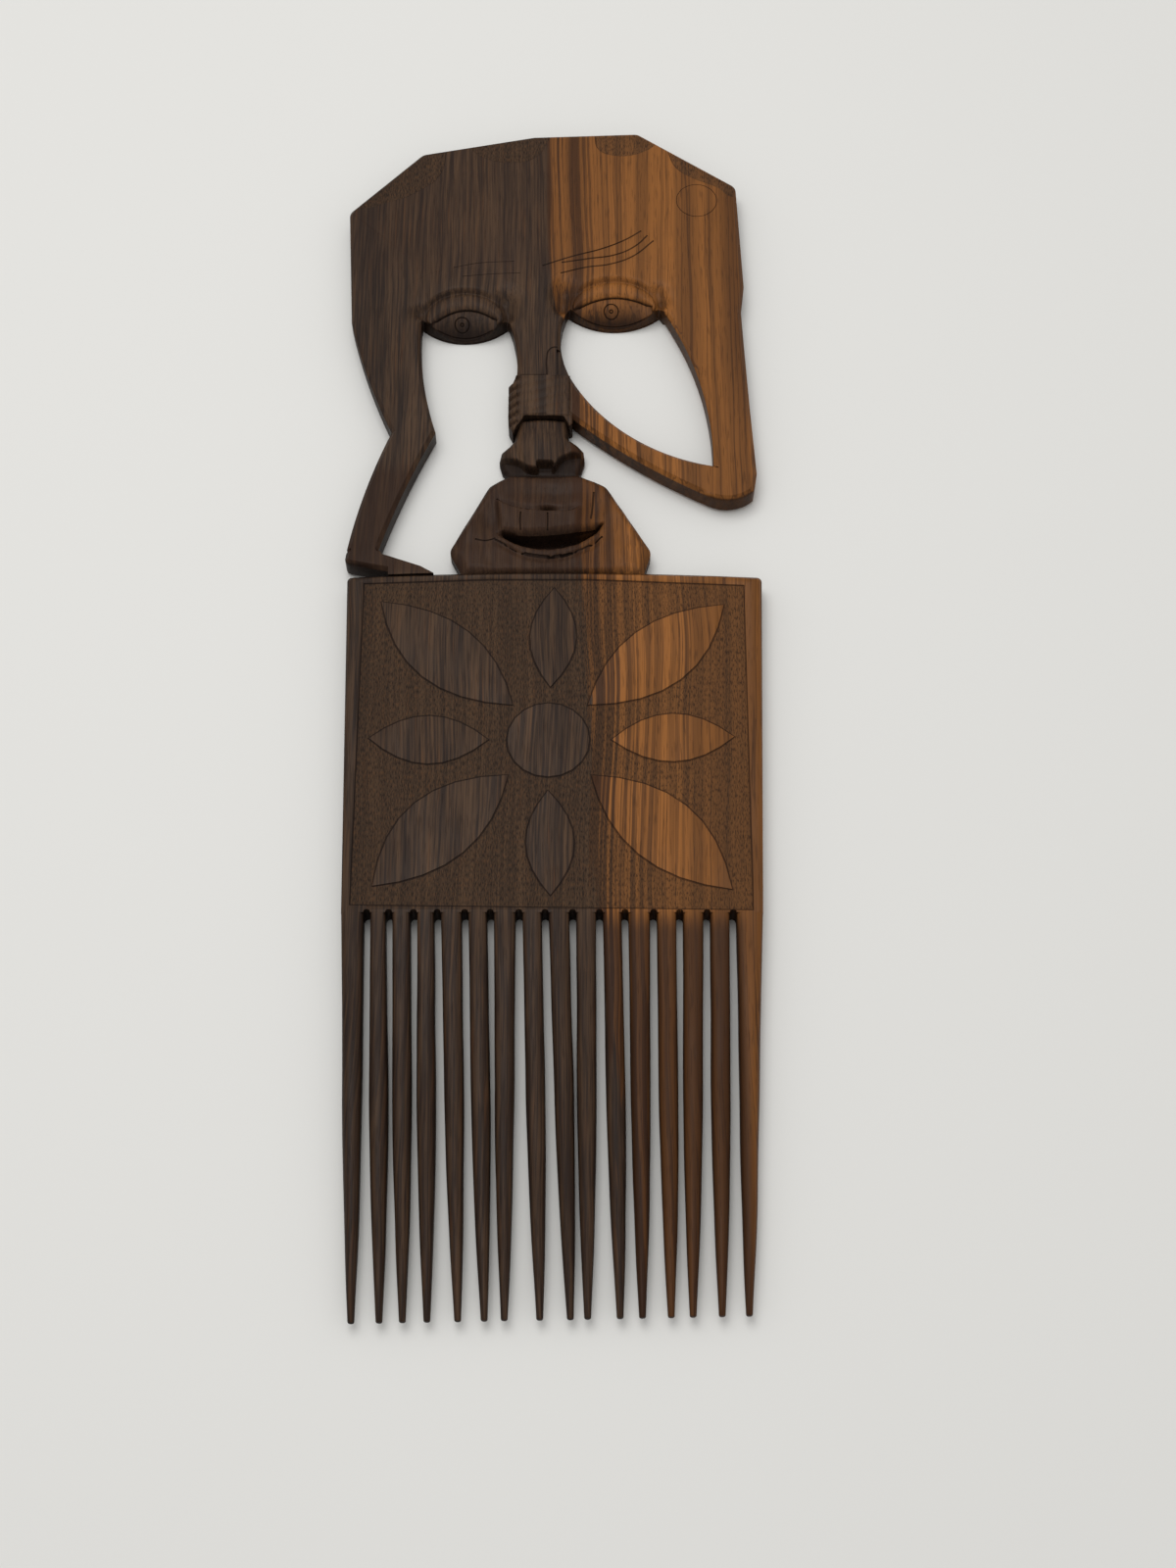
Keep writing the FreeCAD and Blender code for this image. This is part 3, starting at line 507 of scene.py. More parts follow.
def wood_figure(tree, colours):
    """Oily striped hardwood sawn along the grain: dark heartwood on the left, orange-brown striped
    wood on the right, long streaks and short open pores. Gives its colour, its relief and its places."""
    source = add_node(tree, "ShaderNodeTexCoord", {}, {})
    place = source.outputs["Object"]
    grain = swayed_grain(tree, place)
    stripes = streaks(tree, grain, *STRIPES)
    hairs = streaks(tree, grain, *HAIRS)
    pores = streaks(tree, place, *PORES)
    x, y, z = add_node(tree, "ShaderNodeSeparateXYZ", {}, {"Vector": place}).outputs
    inland = add_node(tree, "ShaderNodeMath", {"operation": "SUBTRACT"}, {0: x, 1: heart_edge(tree, y)})
    (low, low_reach), (high, high_reach) = RAGGED
    ragged = add_node(tree, "ShaderNodeMapRange", {}, {
        "Value": y, "From Min": low * MM, "From Max": high * MM,
        "To Min": low_reach * MM, "To Max": high_reach * MM})
    sideways = add_node(tree, "ShaderNodeMath", {"operation": "SUBTRACT"}, {0: stripes, 1: 0.5})
    across = add_node(tree, "ShaderNodeMath", {"operation": "MULTIPLY_ADD"}, {
        0: sideways, 1: ragged, 2: inland})
    side = (across, -EDGE_BLUR * MM, EDGE_BLUR * MM)

    dark = heartwood(tree, colours, grain, stripes, hairs)
    light = striped_wood(tree, colours, grain, stripes, hairs, inland)
    colour = coat(tree, dark, light, (*side, 0.0, 1.0))
    colour = coat(tree, colour, colours.wax_and_shade, (pores, *PORE_OPENING, 0.0, 0.35))
    colour = dark_zones_and_painted_shade(tree, colour, colours, (x, y, z), source.outputs["Normal"], side)

    holes = add_node(tree, "ShaderNodeMapRange", {"interpolation_type": "SMOOTHSTEP"}, {
        "Value": pores, "From Min": PORE_OPENING[0], "From Max": PORE_OPENING[1], "To Max": -1.0})
    relief = add_node(tree, "ShaderNodeMath", {"operation": "MULTIPLY_ADD"}, {0: hairs, 1: 0.6, 2: holes})
    return colour, relief, place


def shaded(tree, colour, roughness, relief, depth):
    """Ends a wood: a weak sheen of old oil, a roughness, and a relief of that depth in millimetres."""
    bump = add_node(tree, "ShaderNodeBump", {}, {"Height": relief, "Strength": 0.6, "Distance": depth * MM})
    shader = add_node(tree, "ShaderNodeBsdfPrincipled", {}, {
        "Base Color": colour, "Roughness": roughness, "Specular IOR Level": 0.1, "Normal": bump})
    add_node(tree, "ShaderNodeOutputMaterial", {}, {"Surface": shader})


def polished_wood(tree, colours):
    """Oiled hardwood rubbed smooth by hand: a satin sheen that the open grain breaks up."""
    colour, relief, place = wood_figure(tree, colours)
    roughness = add_node(tree, "ShaderNodeMapRange", {"interpolation_type": "SMOOTHSTEP"}, {
        "Value": streaks(tree, place, *WORN_PATCHES), "From Min": 0.3, "From Max": 0.7,
        "To Min": 0.40, "To Max": 0.56})
    shaded(tree, colour, roughness, relief, 0.06)


def punched_wood(tree, colours):
    """Hardwood hatched all over with short cuts along the grain: dull, paler and fibrous."""
    colour, _, place = wood_figure(tree, colours)
    hatch = streaks(tree, place, *HATCH)
    colour = add_node(tree, "ShaderNodeMix", {"data_type": "RGBA"}, {
        0: 0.42, 6: colour, 7: colours.punched})
    colour = coat(tree, colour, colours.wax_and_shade, (hatch, 0.52, 0.34, 0.0, 0.7))
    colour = coat(tree, colour, colours.fleck, (hatch, 0.53, 0.68, 0.0, 0.3))
    shaded(tree, colour, 0.72, hatch, 0.4)


def wax_and_shade_line(tree, colours):
    """A knife-cut line that old wax and dust have filled, with painted shade of its walls: nearly black,
    and dull.
    """
    colour, relief, _ = wood_figure(tree, colours)
    # Old wax and painted shade: the cut's wood is mixed most of the way to the dark colour.
    colour = add_node(tree, "ShaderNodeMix", {"data_type": "RGBA"}, {
        0: 0.72, 6: colour, 7: colours.wax_and_shade})
    shaded(tree, colour, 0.7, relief, 0.05)


def laminate(tree, colours):
    """Matt white laminate: plain, pale and even."""
    shader = add_node(tree, "ShaderNodeBsdfPrincipled", {}, {
        "Base Color": colours.floor, "Roughness": 0.6})
    add_node(tree, "ShaderNodeOutputMaterial", {}, {"Surface": shader})


def material_of(context, name, maker):
    """A material by name, made once."""
    material = bpy.data.materials.get(name)
    if material is None:
        material = bpy.data.materials.new(name)
        material.use_nodes = True
        material.node_tree.nodes.clear()
        maker(material.node_tree, context.scene.pick_colours)
    return material


def woods(context):
    """The polished wood, the punched wood, and the knife-cut wood dark with old wax and painted shade."""
    return (material_of(context, "oiled_striped_hardwood", polished_wood),
            material_of(context, "punched_striped_hardwood", punched_wood),
            material_of(context, "wax_and_shade_knife_cut", wax_and_shade_line))


# Head plate

FAINT_BROWS = (
    ((-34, 174.2), (-26, 176), (-14, 176.8)),
    ((-31, 170.6), (-21, 171.6), (-12, 172)),
)
BROWS = (
    ((-4.7, 175), (5, 178.8), (15, 182), (22.5, 185.6), (28, 189.4)),
    ((1.6, 176.3), (10, 177.8), (20, 179.7), (26.3, 183.4), (30, 187.5)),
    ((1.3, 172), (10, 174.4), (17.5, 175.6), (25, 178.8), (32, 185.3)),
)
# Knife lines along the thumb and along the upper edge of the hand.
HAND_LINES = (
    ((-2.9, 131.0), (-3.0, 138.0), (-2.4, 140.8), (-1.0, 142.0), (0.6, 142.0)),
    ((-13.2, 131.2), (-8, 131.1), (-3, 131.2)),
)
HAIR_ARCS = (
    ((-68.5, 200.2), (-54, 202.5), (-45, 207.5), (-40, 212.5), (-37.5, 224.6)),
    ((-31, 226), (-25, 220.8), (-16, 218.6), (-8, 220.4), (-2.5, 230)),
    ((12.6, 230.6), (14.2, 224), (20, 221.6), (27, 222.4), (33.4, 226.6)),
    ((37.2, 224), (40, 216.4), (45.5, 212), (53, 208.4), (59.4, 204)),
)
OUTSIDE = 240
TEMPLE_RING = (46.6, 202.2, 6.7)
# Widths of the lines, as a share of the usual one.
BOLD_LINE = 0.8
FAINT_LINE = 0.38
EYE_LINE = 0.75
# Fillings at ankle, elbow and thumb, where the members are one piece of wood: outline and levels.
JOINTS = (
    (((-62.9, 66.6), (-63.0, 64.6), (-54.6, 64.3), (-55.8, 66.5)), 0.0, FRONT),
    (((-63.9, 66.8), (-64.0, 64.2), (-60.0, 64.2), (-60.0, 66.8)), 1.2, FRONT - 0.8),
    (((51.4, 96.6), (51.4, 94.8), (60.3, 88.4), (61.0, 90.5)), 0.0, FRONT),
    (((-3.6, 129.0), (0.2, 129.0), (0.1, 142.6), (-3.6, 142.6)), 0.0, FRONT),
)


def ring(x, y, across, up=None, sides=12):
    """Points round a circle or an oval."""
    turns = [math.tau * number / sides for number in range(sides)]
    return [(x + across * math.cos(turn), y + (up or across) * math.sin(turn)) for turn in turns]


# Eyes: corners of the eyeball, top of its upper edge, middle of the iris, and the soft hollows in the
# wood around it, each with its middle, reach and depth.
EYES = {
    "left_eye": {
        "corners": ((-40.2, 152.6), (-19.4, 153.9)), "lid": (-29.4, 158.2), "iris": (-30.8, 153.5),
        "hollows": ((-16.8, 160.3, 4.2, 3.0), (-16.0, 154.8, 2.8, 2.6), (-44.4, 156.2, 2.6, 2.2))},
    "right_eye": {
        "corners": ((5.8, 158.0), (31.2, 159.2)), "lid": (18.6, 163.2), "iris": (17.9, 158.8),
        "hollows": ((2.4, 164.0, 4.6, 3.2), (1.8, 158.4, 3.0, 2.6), (34.0, 160.4, 2.8, 3.0),
                    (33.0, 164.8, 2.4, 1.8))},
}
IRIS_RINGS = (2.3, 0.5)
# The arch over an eye rises this share of its height over the corners.
ARCH_SHARE = 0.68
CREASE_INSET = 1.2
# Crease over the lid: depth and reach. Upper lid: its foot's level and its swell. Eyeball: level of its
# lower edge in the middle, rise of that edge to the corners, and level of its top. Lower lid: rise,
# distance from the edge and reach.
CREASE = (1.7, 1.1)
UPPER_LID = (6.3, 1.15)
EYEBALL = (0.8, 4.6, 5.9)
LOWER_LID = (0.35, 0.45, 0.4)
# Shares of the socket's outline between which its carving runs out into the flat front.
SOCKET_FADE = (0.84, 0.97)
SOCKET_MARGIN = (9.0, 17.0, 3.5)
SOCKET_FLOOR = 0.6
# How much smaller and shallower the seat of a carved socket is than the socket.
SEAT_OVERLAP = (0.7, 0.3)


def eye_measures(node):
    """Middle and half width across, then low edge, waist and top along Y, of an eye in millimetres."""
    near, far = (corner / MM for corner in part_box(node))
    waist = far.y - ARCH_SHARE * (far.y - near.y)
    return (near.x + far.x) / 2, (far.x - near.x) / 2, near.y, waist, far.y


EYE_MEASURES = {node: eye_measures(node) for node in EYES}


def eye_edges(node, x):
    """Height along Y of an eyeball's upper edge and of the opening under it, and the share across."""
    middle, half, low, waist, _ = EYE_MEASURES[node]
    left, right = EYES[node]["corners"]
    inside = min(max(x, left[0]), right[0])
    lid = bow(inside, left, EYES[node]["lid"], right)
    rim = waist - (waist - low) * math.sqrt(max(1 - ((x - middle) / half) ** 2, 0.0))
    return lid, rim, (inside - left[0]) / (right[0] - left[0])


def eye_height(node):
    """Front of an eye in its socket: soft crease, full upper lid, domed eyeball and thin lower lid."""
    middle, half, low, waist, top = EYE_MEASURES[node]
    left, right = EYES[node]["corners"]
    margin, reach_up, shift = SOCKET_MARGIN

    def height(x, y):
        rise = top - waist if y > waist else waist - low
        size = math.hypot((x - middle) / half, (y - waist) / rise)
        outside = math.hypot(x - middle, y - waist) * (1 - 1 / max(size, 0.05))
        lid, rim, share = eye_edges(node, x)
        below = -outside - CREASE_INSET
        over = y - lid
        if not left[0] < x < right[0]:
            corner = left if x <= left[0] else right
            over = math.hypot(x - corner[0], y - corner[1])
        if over > 0 and below < 0:
            level = FRONT - CREASE[0] * hump(below, CREASE[1])
        elif over > 0:
            foot, swell = UPPER_LID
            level = foot + swell * math.sin(math.pi * below / (below + over)) ** 0.7
        else:
            ends = (2 * share - 1) ** 2
            edge, corner_rise, crest = EYEBALL
            edge += corner_rise * ends
            opening = min(max((y - rim) / max(lid - rim, 0.3), 0.0), 1.0)
            level = mix(edge, crest, (1 - (1 - opening) ** 1.6) ** 0.8)
            lift, away, reach = LOWER_LID
            level += lift * hump(y - rim - away, reach) * (1 - ends)
        dip = sum(depth * hump(math.hypot(x - at_x, y - at_y), reach)
                  for at_x, at_y, reach, depth in EYES[node]["hollows"])
        level -= dip * step(-1.6, 0.6, outside)
        border = math.hypot((x - middle) / (half + margin), (y - waist - shift) / reach_up)
        return min(mix(level, FRONT, step(*SOCKET_FADE, border)), FRONT - SKIM)

    return height


def eye_strokes(node):
    """Knife lines of an eye: both edges of the eyeball, and the rings of the iris."""
    left, right = EYES[node]["corners"]
    across = [mix(left[0], right[0], number / 14) for number in range(15)]
    upper = [(x, eye_edges(node, x)[0] - 0.15) for x in across]
    lower = [(x, eye_edges(node, x)[1] + 0.95) for x in across[1:-1]]
    strokes = [(upper, False, "AUTO"), (lower, False, "AUTO")]
    return strokes + [(ring(*EYES[node]["iris"], radius), True, "AUTO") for radius in IRIS_RINGS]


def socket_outline(node, inset):
    middle, half, _, waist, _ = EYE_MEASURES[node]
    margin, reach_up, shift = SOCKET_MARGIN
    return ring(middle, waist + shift, half + margin - inset, reach_up - inset, 32)


def carve_socket(plate, node, voxel, material):
    """Takes an eye and the wood round it out of the plate, carves it finely, and lets it in again."""
    block = wooden(new_piece(f"{node}_socket", plate.data.copy()), material)
    saw = slab("saw", [(socket_outline(node, 0.0), True, "AUTO")], SOCKET_FLOOR, ABOVE, material)
    combine(block, saw, "INTERSECT")
    for _ in range(2):
        remesh(block, voxel)
        carve(block, eye_height(node))
    soften(block, SOFTENING)
    inset, rise = SEAT_OVERLAP
    outline = (socket_outline(node, inset), True, "AUTO")
    seat = slab("seat", [outline], SOCKET_FLOOR + rise, ABOVE, material)
    combine(plate, seat, "DIFFERENCE")
    combine(plate, wooden(block, material), "UNION")


class PICK_OT_head_plate(bpy.types.Operator):
    """Carve the pierced head with its leg and arm, both eyes, the brow lines and the hair"""
    bl_idname = "pick.head_plate"
    bl_label = "Head Plate"

    def execute(self, context):
        sizes = context.scene.pick_sizes
        polished, punched, wax_and_shade_cut = woods(context)
        plate = wooden(piece_from("head_plate", welded_copy(PLATE[0])), polished)
        for node in PLATE[1:]:
            combine(plate, wooden(piece_from(f"{node}_member", welded_copy(node)), polished), "UNION")
        for outline, low, high in JOINTS:
            combine(plate, slab("joint", [(outline, True, "VECTOR")], low, high, polished), "UNION")
        for node in EYES:
            combine(plate, wooden(blank(node, FRONT), polished), "UNION")
        join_flats(plate)
        for node in EYES:
            carve_socket(plate, node, sizes.detail_voxel, polished)
        ground = FRONT - sizes.ground_depth / MM
        for number, arc in enumerate(HAIR_ARCS):
            outline = list(arc) + [(arc[-1][0] + 2, OUTSIDE), (arc[0][0] - 6, OUTSIDE)]
            bed = slab(f"hair_{number}", [(outline, True, "AUTO")], ground, ABOVE, punched)
            combine(plate, bed, "DIFFERENCE")
        cut_lines(plate, [(arc, False, "AUTO") for arc in HAIR_ARCS + BROWS + HAND_LINES],
                  sizes.line_width * BOLD_LINE, wax_and_shade_cut)
        faint = [(arc, False, "AUTO") for arc in FAINT_BROWS] + [(ring(*TEMPLE_RING), True, "AUTO")]
        cut_lines(plate, faint, sizes.line_width * FAINT_LINE, wax_and_shade_cut)
        for node in EYES:
            cut_lines(plate, eye_strokes(node), sizes.line_width * EYE_LINE, wax_and_shade_cut, eye_height(node))
        finish_piece(plate, PLATE + tuple(EYES), 30)
        keep_flats(plate)
        return {"FINISHED"}


# Hand, nose and mouth

KNUCKLES_X = -11.2
FINGERS_X = -15.2
FINGER_PITCH = 3.3
FINGER_LOW = 112.4
FINGER_LEAN = 0.3
FINGER_FALL = 2.3
# Cuts between the fingers: depth and reach.
FINGER_CUT = (1.5, 0.65)
# Falls of the hand to the wrist, and of the thumb to its end and its side: from, to and depth.
WRIST_FALL = (-3.0, 4.6, 0.45)
THUMB_END = (137.5, 141.2, 0.5)
THUMB_SIDE = (0.4, 2.6, 0.6)
THUMB_Y = 130.4
THUMB_RISE = 0.65
HAND_SKIM = 0.08
HAND_ROUND = (0.9, 0.5)
# Ends of the hand that hang down on both sides of the nose.
FINGER_ENDS = (
    ((-15.2, 117), (-15.0, 112.6), (-13.6, 109.6), (-12.4, 111.6), (-10.6, 114.4), (-9.6, 117)),
    ((2.0, 117), (3.0, 114.6), (4.4, 111.8), (5.4, 112.6), (5.4, 117)),
)


def fall(at, low, high, depth):
    """A smooth drop of that depth between two places."""
    return depth * step(low, high, at)


def hand_height(edge):
    """Front of the hand: flat over the bridge, with fingers that turn down round its left side."""
    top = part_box("hand")[1].z / MM

    def height(x, y):
        if y > THUMB_Y:
            return FRONT + THUMB_RISE - fall(y, *THUMB_END) - fall(x, *THUMB_SIDE)
        turn = min(max((KNUCKLES_X - x) / (KNUCKLES_X - FINGERS_X), 0.0), 1.0)
        row = (y - FINGER_LOW - FINGER_LEAN * (x - FINGERS_X)) / FINGER_PITCH
        between = abs(row - round(row)) * FINGER_PITCH
        depth, reach = FINGER_CUT
        level = top - HAND_SKIM - fall(x, *WRIST_FALL)
        level -= FINGER_FALL * turn ** 1.7 + depth * step(-0.1, 0.3, turn) * hump(between, reach)
        return level - rounding(edge(x, y), *HAND_ROUND)

    return height


class PICK_OT_hand(bpy.types.Operator):
    """Carve the hand that grips the nose, with its fingers and thumb"""
    bl_idname = "pick.hand"
    bl_label = "Hand"

    def execute(self, context):
        polished = woods(context)[0]
        piece = wooden(blank("hand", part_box("hand")[1].z / MM), polished)
        for number, finger in enumerate(FINGER_ENDS):
            end = slab(f"finger_{number}", [(finger, True, "VECTOR")], 0, FRONT, polished)
            combine(piece, end, "UNION")
        remesh(piece, context.scene.pick_sizes.detail_voxel)
        carve(piece, hand_height(edge_finder(piece)))
        soften(piece, SOFTENING)
        finish_piece(piece, ["hand"], 60)
        return {"FINISHED"}


NOSE_MIDDLE = -4.1
NOSE_FRONT = 7.7
NOSE_CURVE = 0.019
# Fall of the nose towards the hand: from, to and depth.
BRIDGE_FALL = (105, 114, 0.9)
NOSTRIL_LEVEL = 3.4
NOSE_ROUND = (1.8, 1.6)
# Outline of the nose below the bridge, from the top left round the wings.
NOSE_SIDES = (
    (-12.5, 112.5), (-13.0, 107.8), (-14.6, 105.8), (-17.1, 104.0), (-17.8, 100.8), (-16.8, 97.2),
    (-14.6, 94.9), (7.2, 94.9), (8.2, 97.6), (9.3, 101.2), (8.9, 104.4), (6.4, 106.6), (4.1, 108.2),
    (4.2, 112.5))
# Lower edge of the nose's front, from the left wing over the tip to the right wing.
NOSE_EDGE = (
    (-18, 100.8), (-14, 99.9), (-10.8, 98.8), (-9.4, 97.3), (-7, 96.4), (-0.9, 96.6), (0.2, 97.8),
    (1.0, 99.3), (2.2, 100.8), (4.6, 102), (7.2, 102.4), (9.5, 101.5))
SEPTUM = (-5.8, -0.9, 98.6)
# Swell of each wing: middle and reach. Then the swell's height.
WINGS = ((-14.0, 102.4, 3.2), (6.0, 104.0, 3.0))
WING_SWELL = 0.9
# Crease beside a wing: distance from the middle at a height, lean, depth and reach.
WING_CREASE = (6.6, 100, 0.25, 0.5, 0.8)


def nose_height(edge):
    """Front of the nose: a broad ridge down to the tip, two wings, and nostrils cut in from below."""
    def height(x, y):
        front = NOSE_FRONT - NOSE_CURVE * (x - NOSE_MIDDLE) ** 2 - fall(y, *BRIDGE_FALL)
        for middle_x, middle_y, reach in WINGS:
            front += WING_SWELL * hump(math.hypot(x - middle_x, y - middle_y), reach)
        away, level_y, lean, depth, reach = WING_CREASE
        aside = abs(x - NOSE_MIDDLE) - away - lean * (y - level_y)
        front -= depth * hump(aside, reach) * step(97.5, 99.5, y) * step(107, 104, y)
        lower = along(NOSE_EDGE, x)
        if SEPTUM[0] < x < SEPTUM[1]:
            lower = SEPTUM[2]
        level = mix(NOSTRIL_LEVEL, front, step(lower - 0.3, lower + 0.3, y))
        return level - rounding(edge(x, y), *NOSE_ROUND) * step(95, 97, y)

    return height


class PICK_OT_nose(bpy.types.Operator):
    """Carve the nose with its wings and nostrils"""
    bl_idname = "pick.nose"
    bl_label = "Nose"

    def execute(self, context):
        polished = woods(context)[0]
        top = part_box("nose")[1].y / MM
        sides = [(NOSE_SIDES[0][0], top), *NOSE_SIDES, (NOSE_SIDES[-1][0], top)]
        piece = slab("nose_carving", [(sides, True, "VECTOR")], 0, FRONT, polished)
        remesh(piece, context.scene.pick_sizes.detail_voxel)
        carve(piece, nose_height(edge_finder(piece)))
        soften(piece, SOFTENING)
        finish_piece(piece, ["nose"], 60)
        return {"FINISHED"}


# Lines across the muzzle: fold over the upper lip, both edges of the opening, rim of the lower lip.
LIP_CREASE = (
    (-18.4, 84.6), (-16, 83.1), (-11.2, 81.3), (-4.5, 80.5), (3.1, 80.3), (6.4, 81.1), (8.8, 82.4))
MOUTH_TOP = (
    (-16.5, 72.7), (-12, 72.0), (-6.3, 71.5), (0.3, 72.0), (6.9, 72.8), (11.7, 73.9), (15, 76.2))
MOUTH_LOW = (
    (-16.5, 72.6), (-13.4, 70.0), (-7.3, 68.4), (-1.6, 68.1), (4.1, 68.7), (9.8, 71.2), (15, 76.1))
LIP_RIM = (
    (-18.1, 69.4), (-14.8, 67.5), (-9.1, 64.4), (-1.5, 63.5), (6.0, 65.2), (11.7, 68.1), (15.4, 71.4))
# How far the muzzle's blank stands over the front, and its mesh spacing as a share of the usual one.
MUZZLE_RISE = 0.2
MUZZLE_GRAIN = 1.3
MUZZLE_LEVEL = 7.3
MUZZLE_TOP = 8.19
MOUTH_FLOOR = 0.8
# Upper lip: level of its top and fall to its lower edge. Its folds: places, depth and reach.
UPPER_LIP = (8.15, 0.5)
LIP_FOLDS = ((-10.7, -2.3), 0.35, 0.3)
# Lower lip: level of its edge and swell.
LOWER_LIP = (6.2, 1.2)
# Hollows beside the lips and under the nose: middle, reach across and along, and depth.
CHEEKS = (
    (-20.0, 77.5, 4.0, 7.0, 1.5), (12.6, 80.5, 3.4, 6.5, 1.2), (-4.0, 87.0, 11.0, 3.4, 1.3),
    (-4.0, 94.6, 12.0, 3.0, 1.5))
# Notch in the middle of the upper lip's fold: place across, reach across and along, and depth.
LIP_NOTCH = (-2.3, 2.2, 0.9, 2.2)
# Tool marks: height, spacing across and along, and a seed. Then a rough patch: its middle and reach.
LIP_SHREDS = (0.3, 1.3, 0.6, 5.0)
CORNER_MARKS = (0.5, 1.2, 0.9, 8.0)
MUZZLE_MARKS = (0.3, 3.4, 5.5, 1.0)
ROUGH_CORNER = (12.5, 71.0, 3.4)


def tool_marks(x, y, height, across, along_grain, seed):
    """Unevenness that the knife has left."""
    return height * noise.noise(Vector((x / across, y / along_grain, seed)))


def mouth_height(edge):
    """Front of the muzzle: hollows round the lips, full upper lip, open mouth and a thin lower lip."""
    def height(x, y):
        crease = along(LIP_CREASE, x)
        top = along(MOUTH_TOP, x)
        low = along(MOUTH_LOW, x)
        rim = along(LIP_RIM, x)
        upper = step(-18.0, -16.4, x + 0.12 * (y - 76)) * step(9.0, 6.0, x)
        lower = step(-19.5, -16.0, x) * step(15.5, 12, x)
        level = MUZZLE_LEVEL - sum(depth * hump(math.hypot((x - at_x) / wide, (y - at_y) / long), 1.0)
                                   for at_x, at_y, wide, long, depth in CHEEKS)
        if top < y <= crease:
            full = (crease - y) / (crease - top)
            level = mix(level, UPPER_LIP[0] - UPPER_LIP[1] * full ** 2, upper)
            folds, depth, reach = LIP_FOLDS
            for fold in folds:
                level -= depth * hump(x - fold, reach) * step(0.0, 0.1, full)
        elif low < y <= top and MOUTH_TOP[0][0] < x < MOUTH_TOP[-1][0]:
            level = MOUTH_FLOOR
        elif rim < y <= low:
            band = max((low - y) / max(low - rim, 0.5), 0.0)
            shreds = tool_marks(x, y, *LIP_SHREDS)
            level = mix(level, LOWER_LIP[0] + LOWER_LIP[1] * math.sin(2.4 * band) + shreds, lower)
        elif y <= rim:
            level -= (0.9 * hump(rim - y, 1.3) + 0.3 * hump(rim - y - 1.5, 0.4)) * lower
        if y > crease - 0.3:
            at_x, wide, long, depth = LIP_NOTCH
            level -= depth * hump(math.hypot((x - at_x) / wide, (y - crease - 0.6) / long), 1.0)
            level -= 0.7 * hump(y - crease, 1.4) * step(-19, -15, x) * step(9.5, 5, x)
        corner_x, corner_y, reach = ROUGH_CORNER
        level += tool_marks(x, y, *CORNER_MARKS) * hump(math.hypot(x - corner_x, y - corner_y), reach)
        level += tool_marks(x, y, *MUZZLE_MARKS)
        bevel = 2.2 + 1.8 * step(16, 26, abs(x + 2)) * step(76, 66, y)
        return min(level, MUZZLE_TOP) - rounding(edge(x, y), bevel, 1.9)

    return height


# Knife lines on the muzzle: share of the usual width, then the points.
LIP_STROKES = (
    (1.1, ((-18.4, 84.8), (-16, 83.2), (-11.2, 81.4), (-4.5, 80.6), (3.1, 80.4), (6.4, 81.2))),
    (1.0, ((-18.6, 69.8), (-14.8, 67.5), (-9.1, 64.4), (-1.5, 63.5), (6.0, 65.2), (11.7, 68.1),
           (14.8, 70.8))),
    (1.8, ((-9.4, 64.5), (-5.4, 63.8), (-1.5, 63.5), (2.4, 64.1), (5.6, 65.0))),
    (0.9, ((-24.7, 69.9), (-21.5, 69.5), (-18.4, 70.2))),
    (0.9, ((-10.7, 79.4), (-10.9, 76), (-10.6, 73.2))),
    (0.9, ((-2.3, 79.2), (-2.2, 76), (-2.3, 73))),
    (0.9, ((12.1, 87.3), (11.7, 82), (11.2, 77.6))),
)


class PICK_OT_mouth(bpy.types.Operator):
    """Carve the muzzle with its lips and open mouth"""
    bl_idname = "pick.mouth"
    bl_label = "Mouth"

    def execute(self, context):
        sizes = context.scene.pick_sizes
        polished, _, wax_and_shade_cut = woods(context)
        piece = wooden(blank("mouth", FRONT + MUZZLE_RISE), polished)
        remesh(piece, sizes.detail_voxel * MUZZLE_GRAIN)
        height = mouth_height(edge_finder(piece))
        carve(piece, height)
        soften(piece, SOFTENING)
        for share, points in LIP_STROKES:
            cut_lines(piece, [(traced(points), False, "AUTO")], sizes.line_width * share, wax_and_shade_cut, height)
        finish_piece(piece, ["mouth"], 60)
        return {"FINISHED"}


# Comb panel

BORDER = ((-58.3, 53.2), (-20, 54.6), (10, 54.6), (58.0, 52.6), (57.6, -55.2), (-58.0, -53.6))


def leaf(first, second, left, right, steps=8):
    """Outline of a leaf between two tips, bulging by these amounts to its left and right."""
    start = Vector(first)
    run = Vector(second) - start
    side = Vector((-run.y, run.x)).normalized()
    outline = []
    for number in range(2 * steps):
        share = number / steps if number <= steps else 2 - number / steps
        bulge = left if number <= steps else -right
        spot = start + run * share + side * bulge * 4 * share * (1 - share)
        outline.append((spot.x, spot.y))
    return outline


# Polished shapes on the panel: a disc and the leaves round it.
MOTIFS = (
    ring(-1.5, -0.5, 12.5, sides=20),
    leaf((-12, 11), (-53, 47), 11, 10),
    leaf((10, 11), (52, 46), 10, 11.5),
    leaf((-13, -12), (-52, -48), 10, 12),
    leaf((11, -12), (52, -49), 11.5, 10),
    leaf((-55, 0), (-19, -0.5), 8, 8.5),
    leaf((17, -0.5), (54, 0.5), 8.5, 8),
    leaf((-1, 17), (0, 52), 7, 7.5),
    leaf((-1.5, -17), (-0.5, -51), 7.5, 7),
)


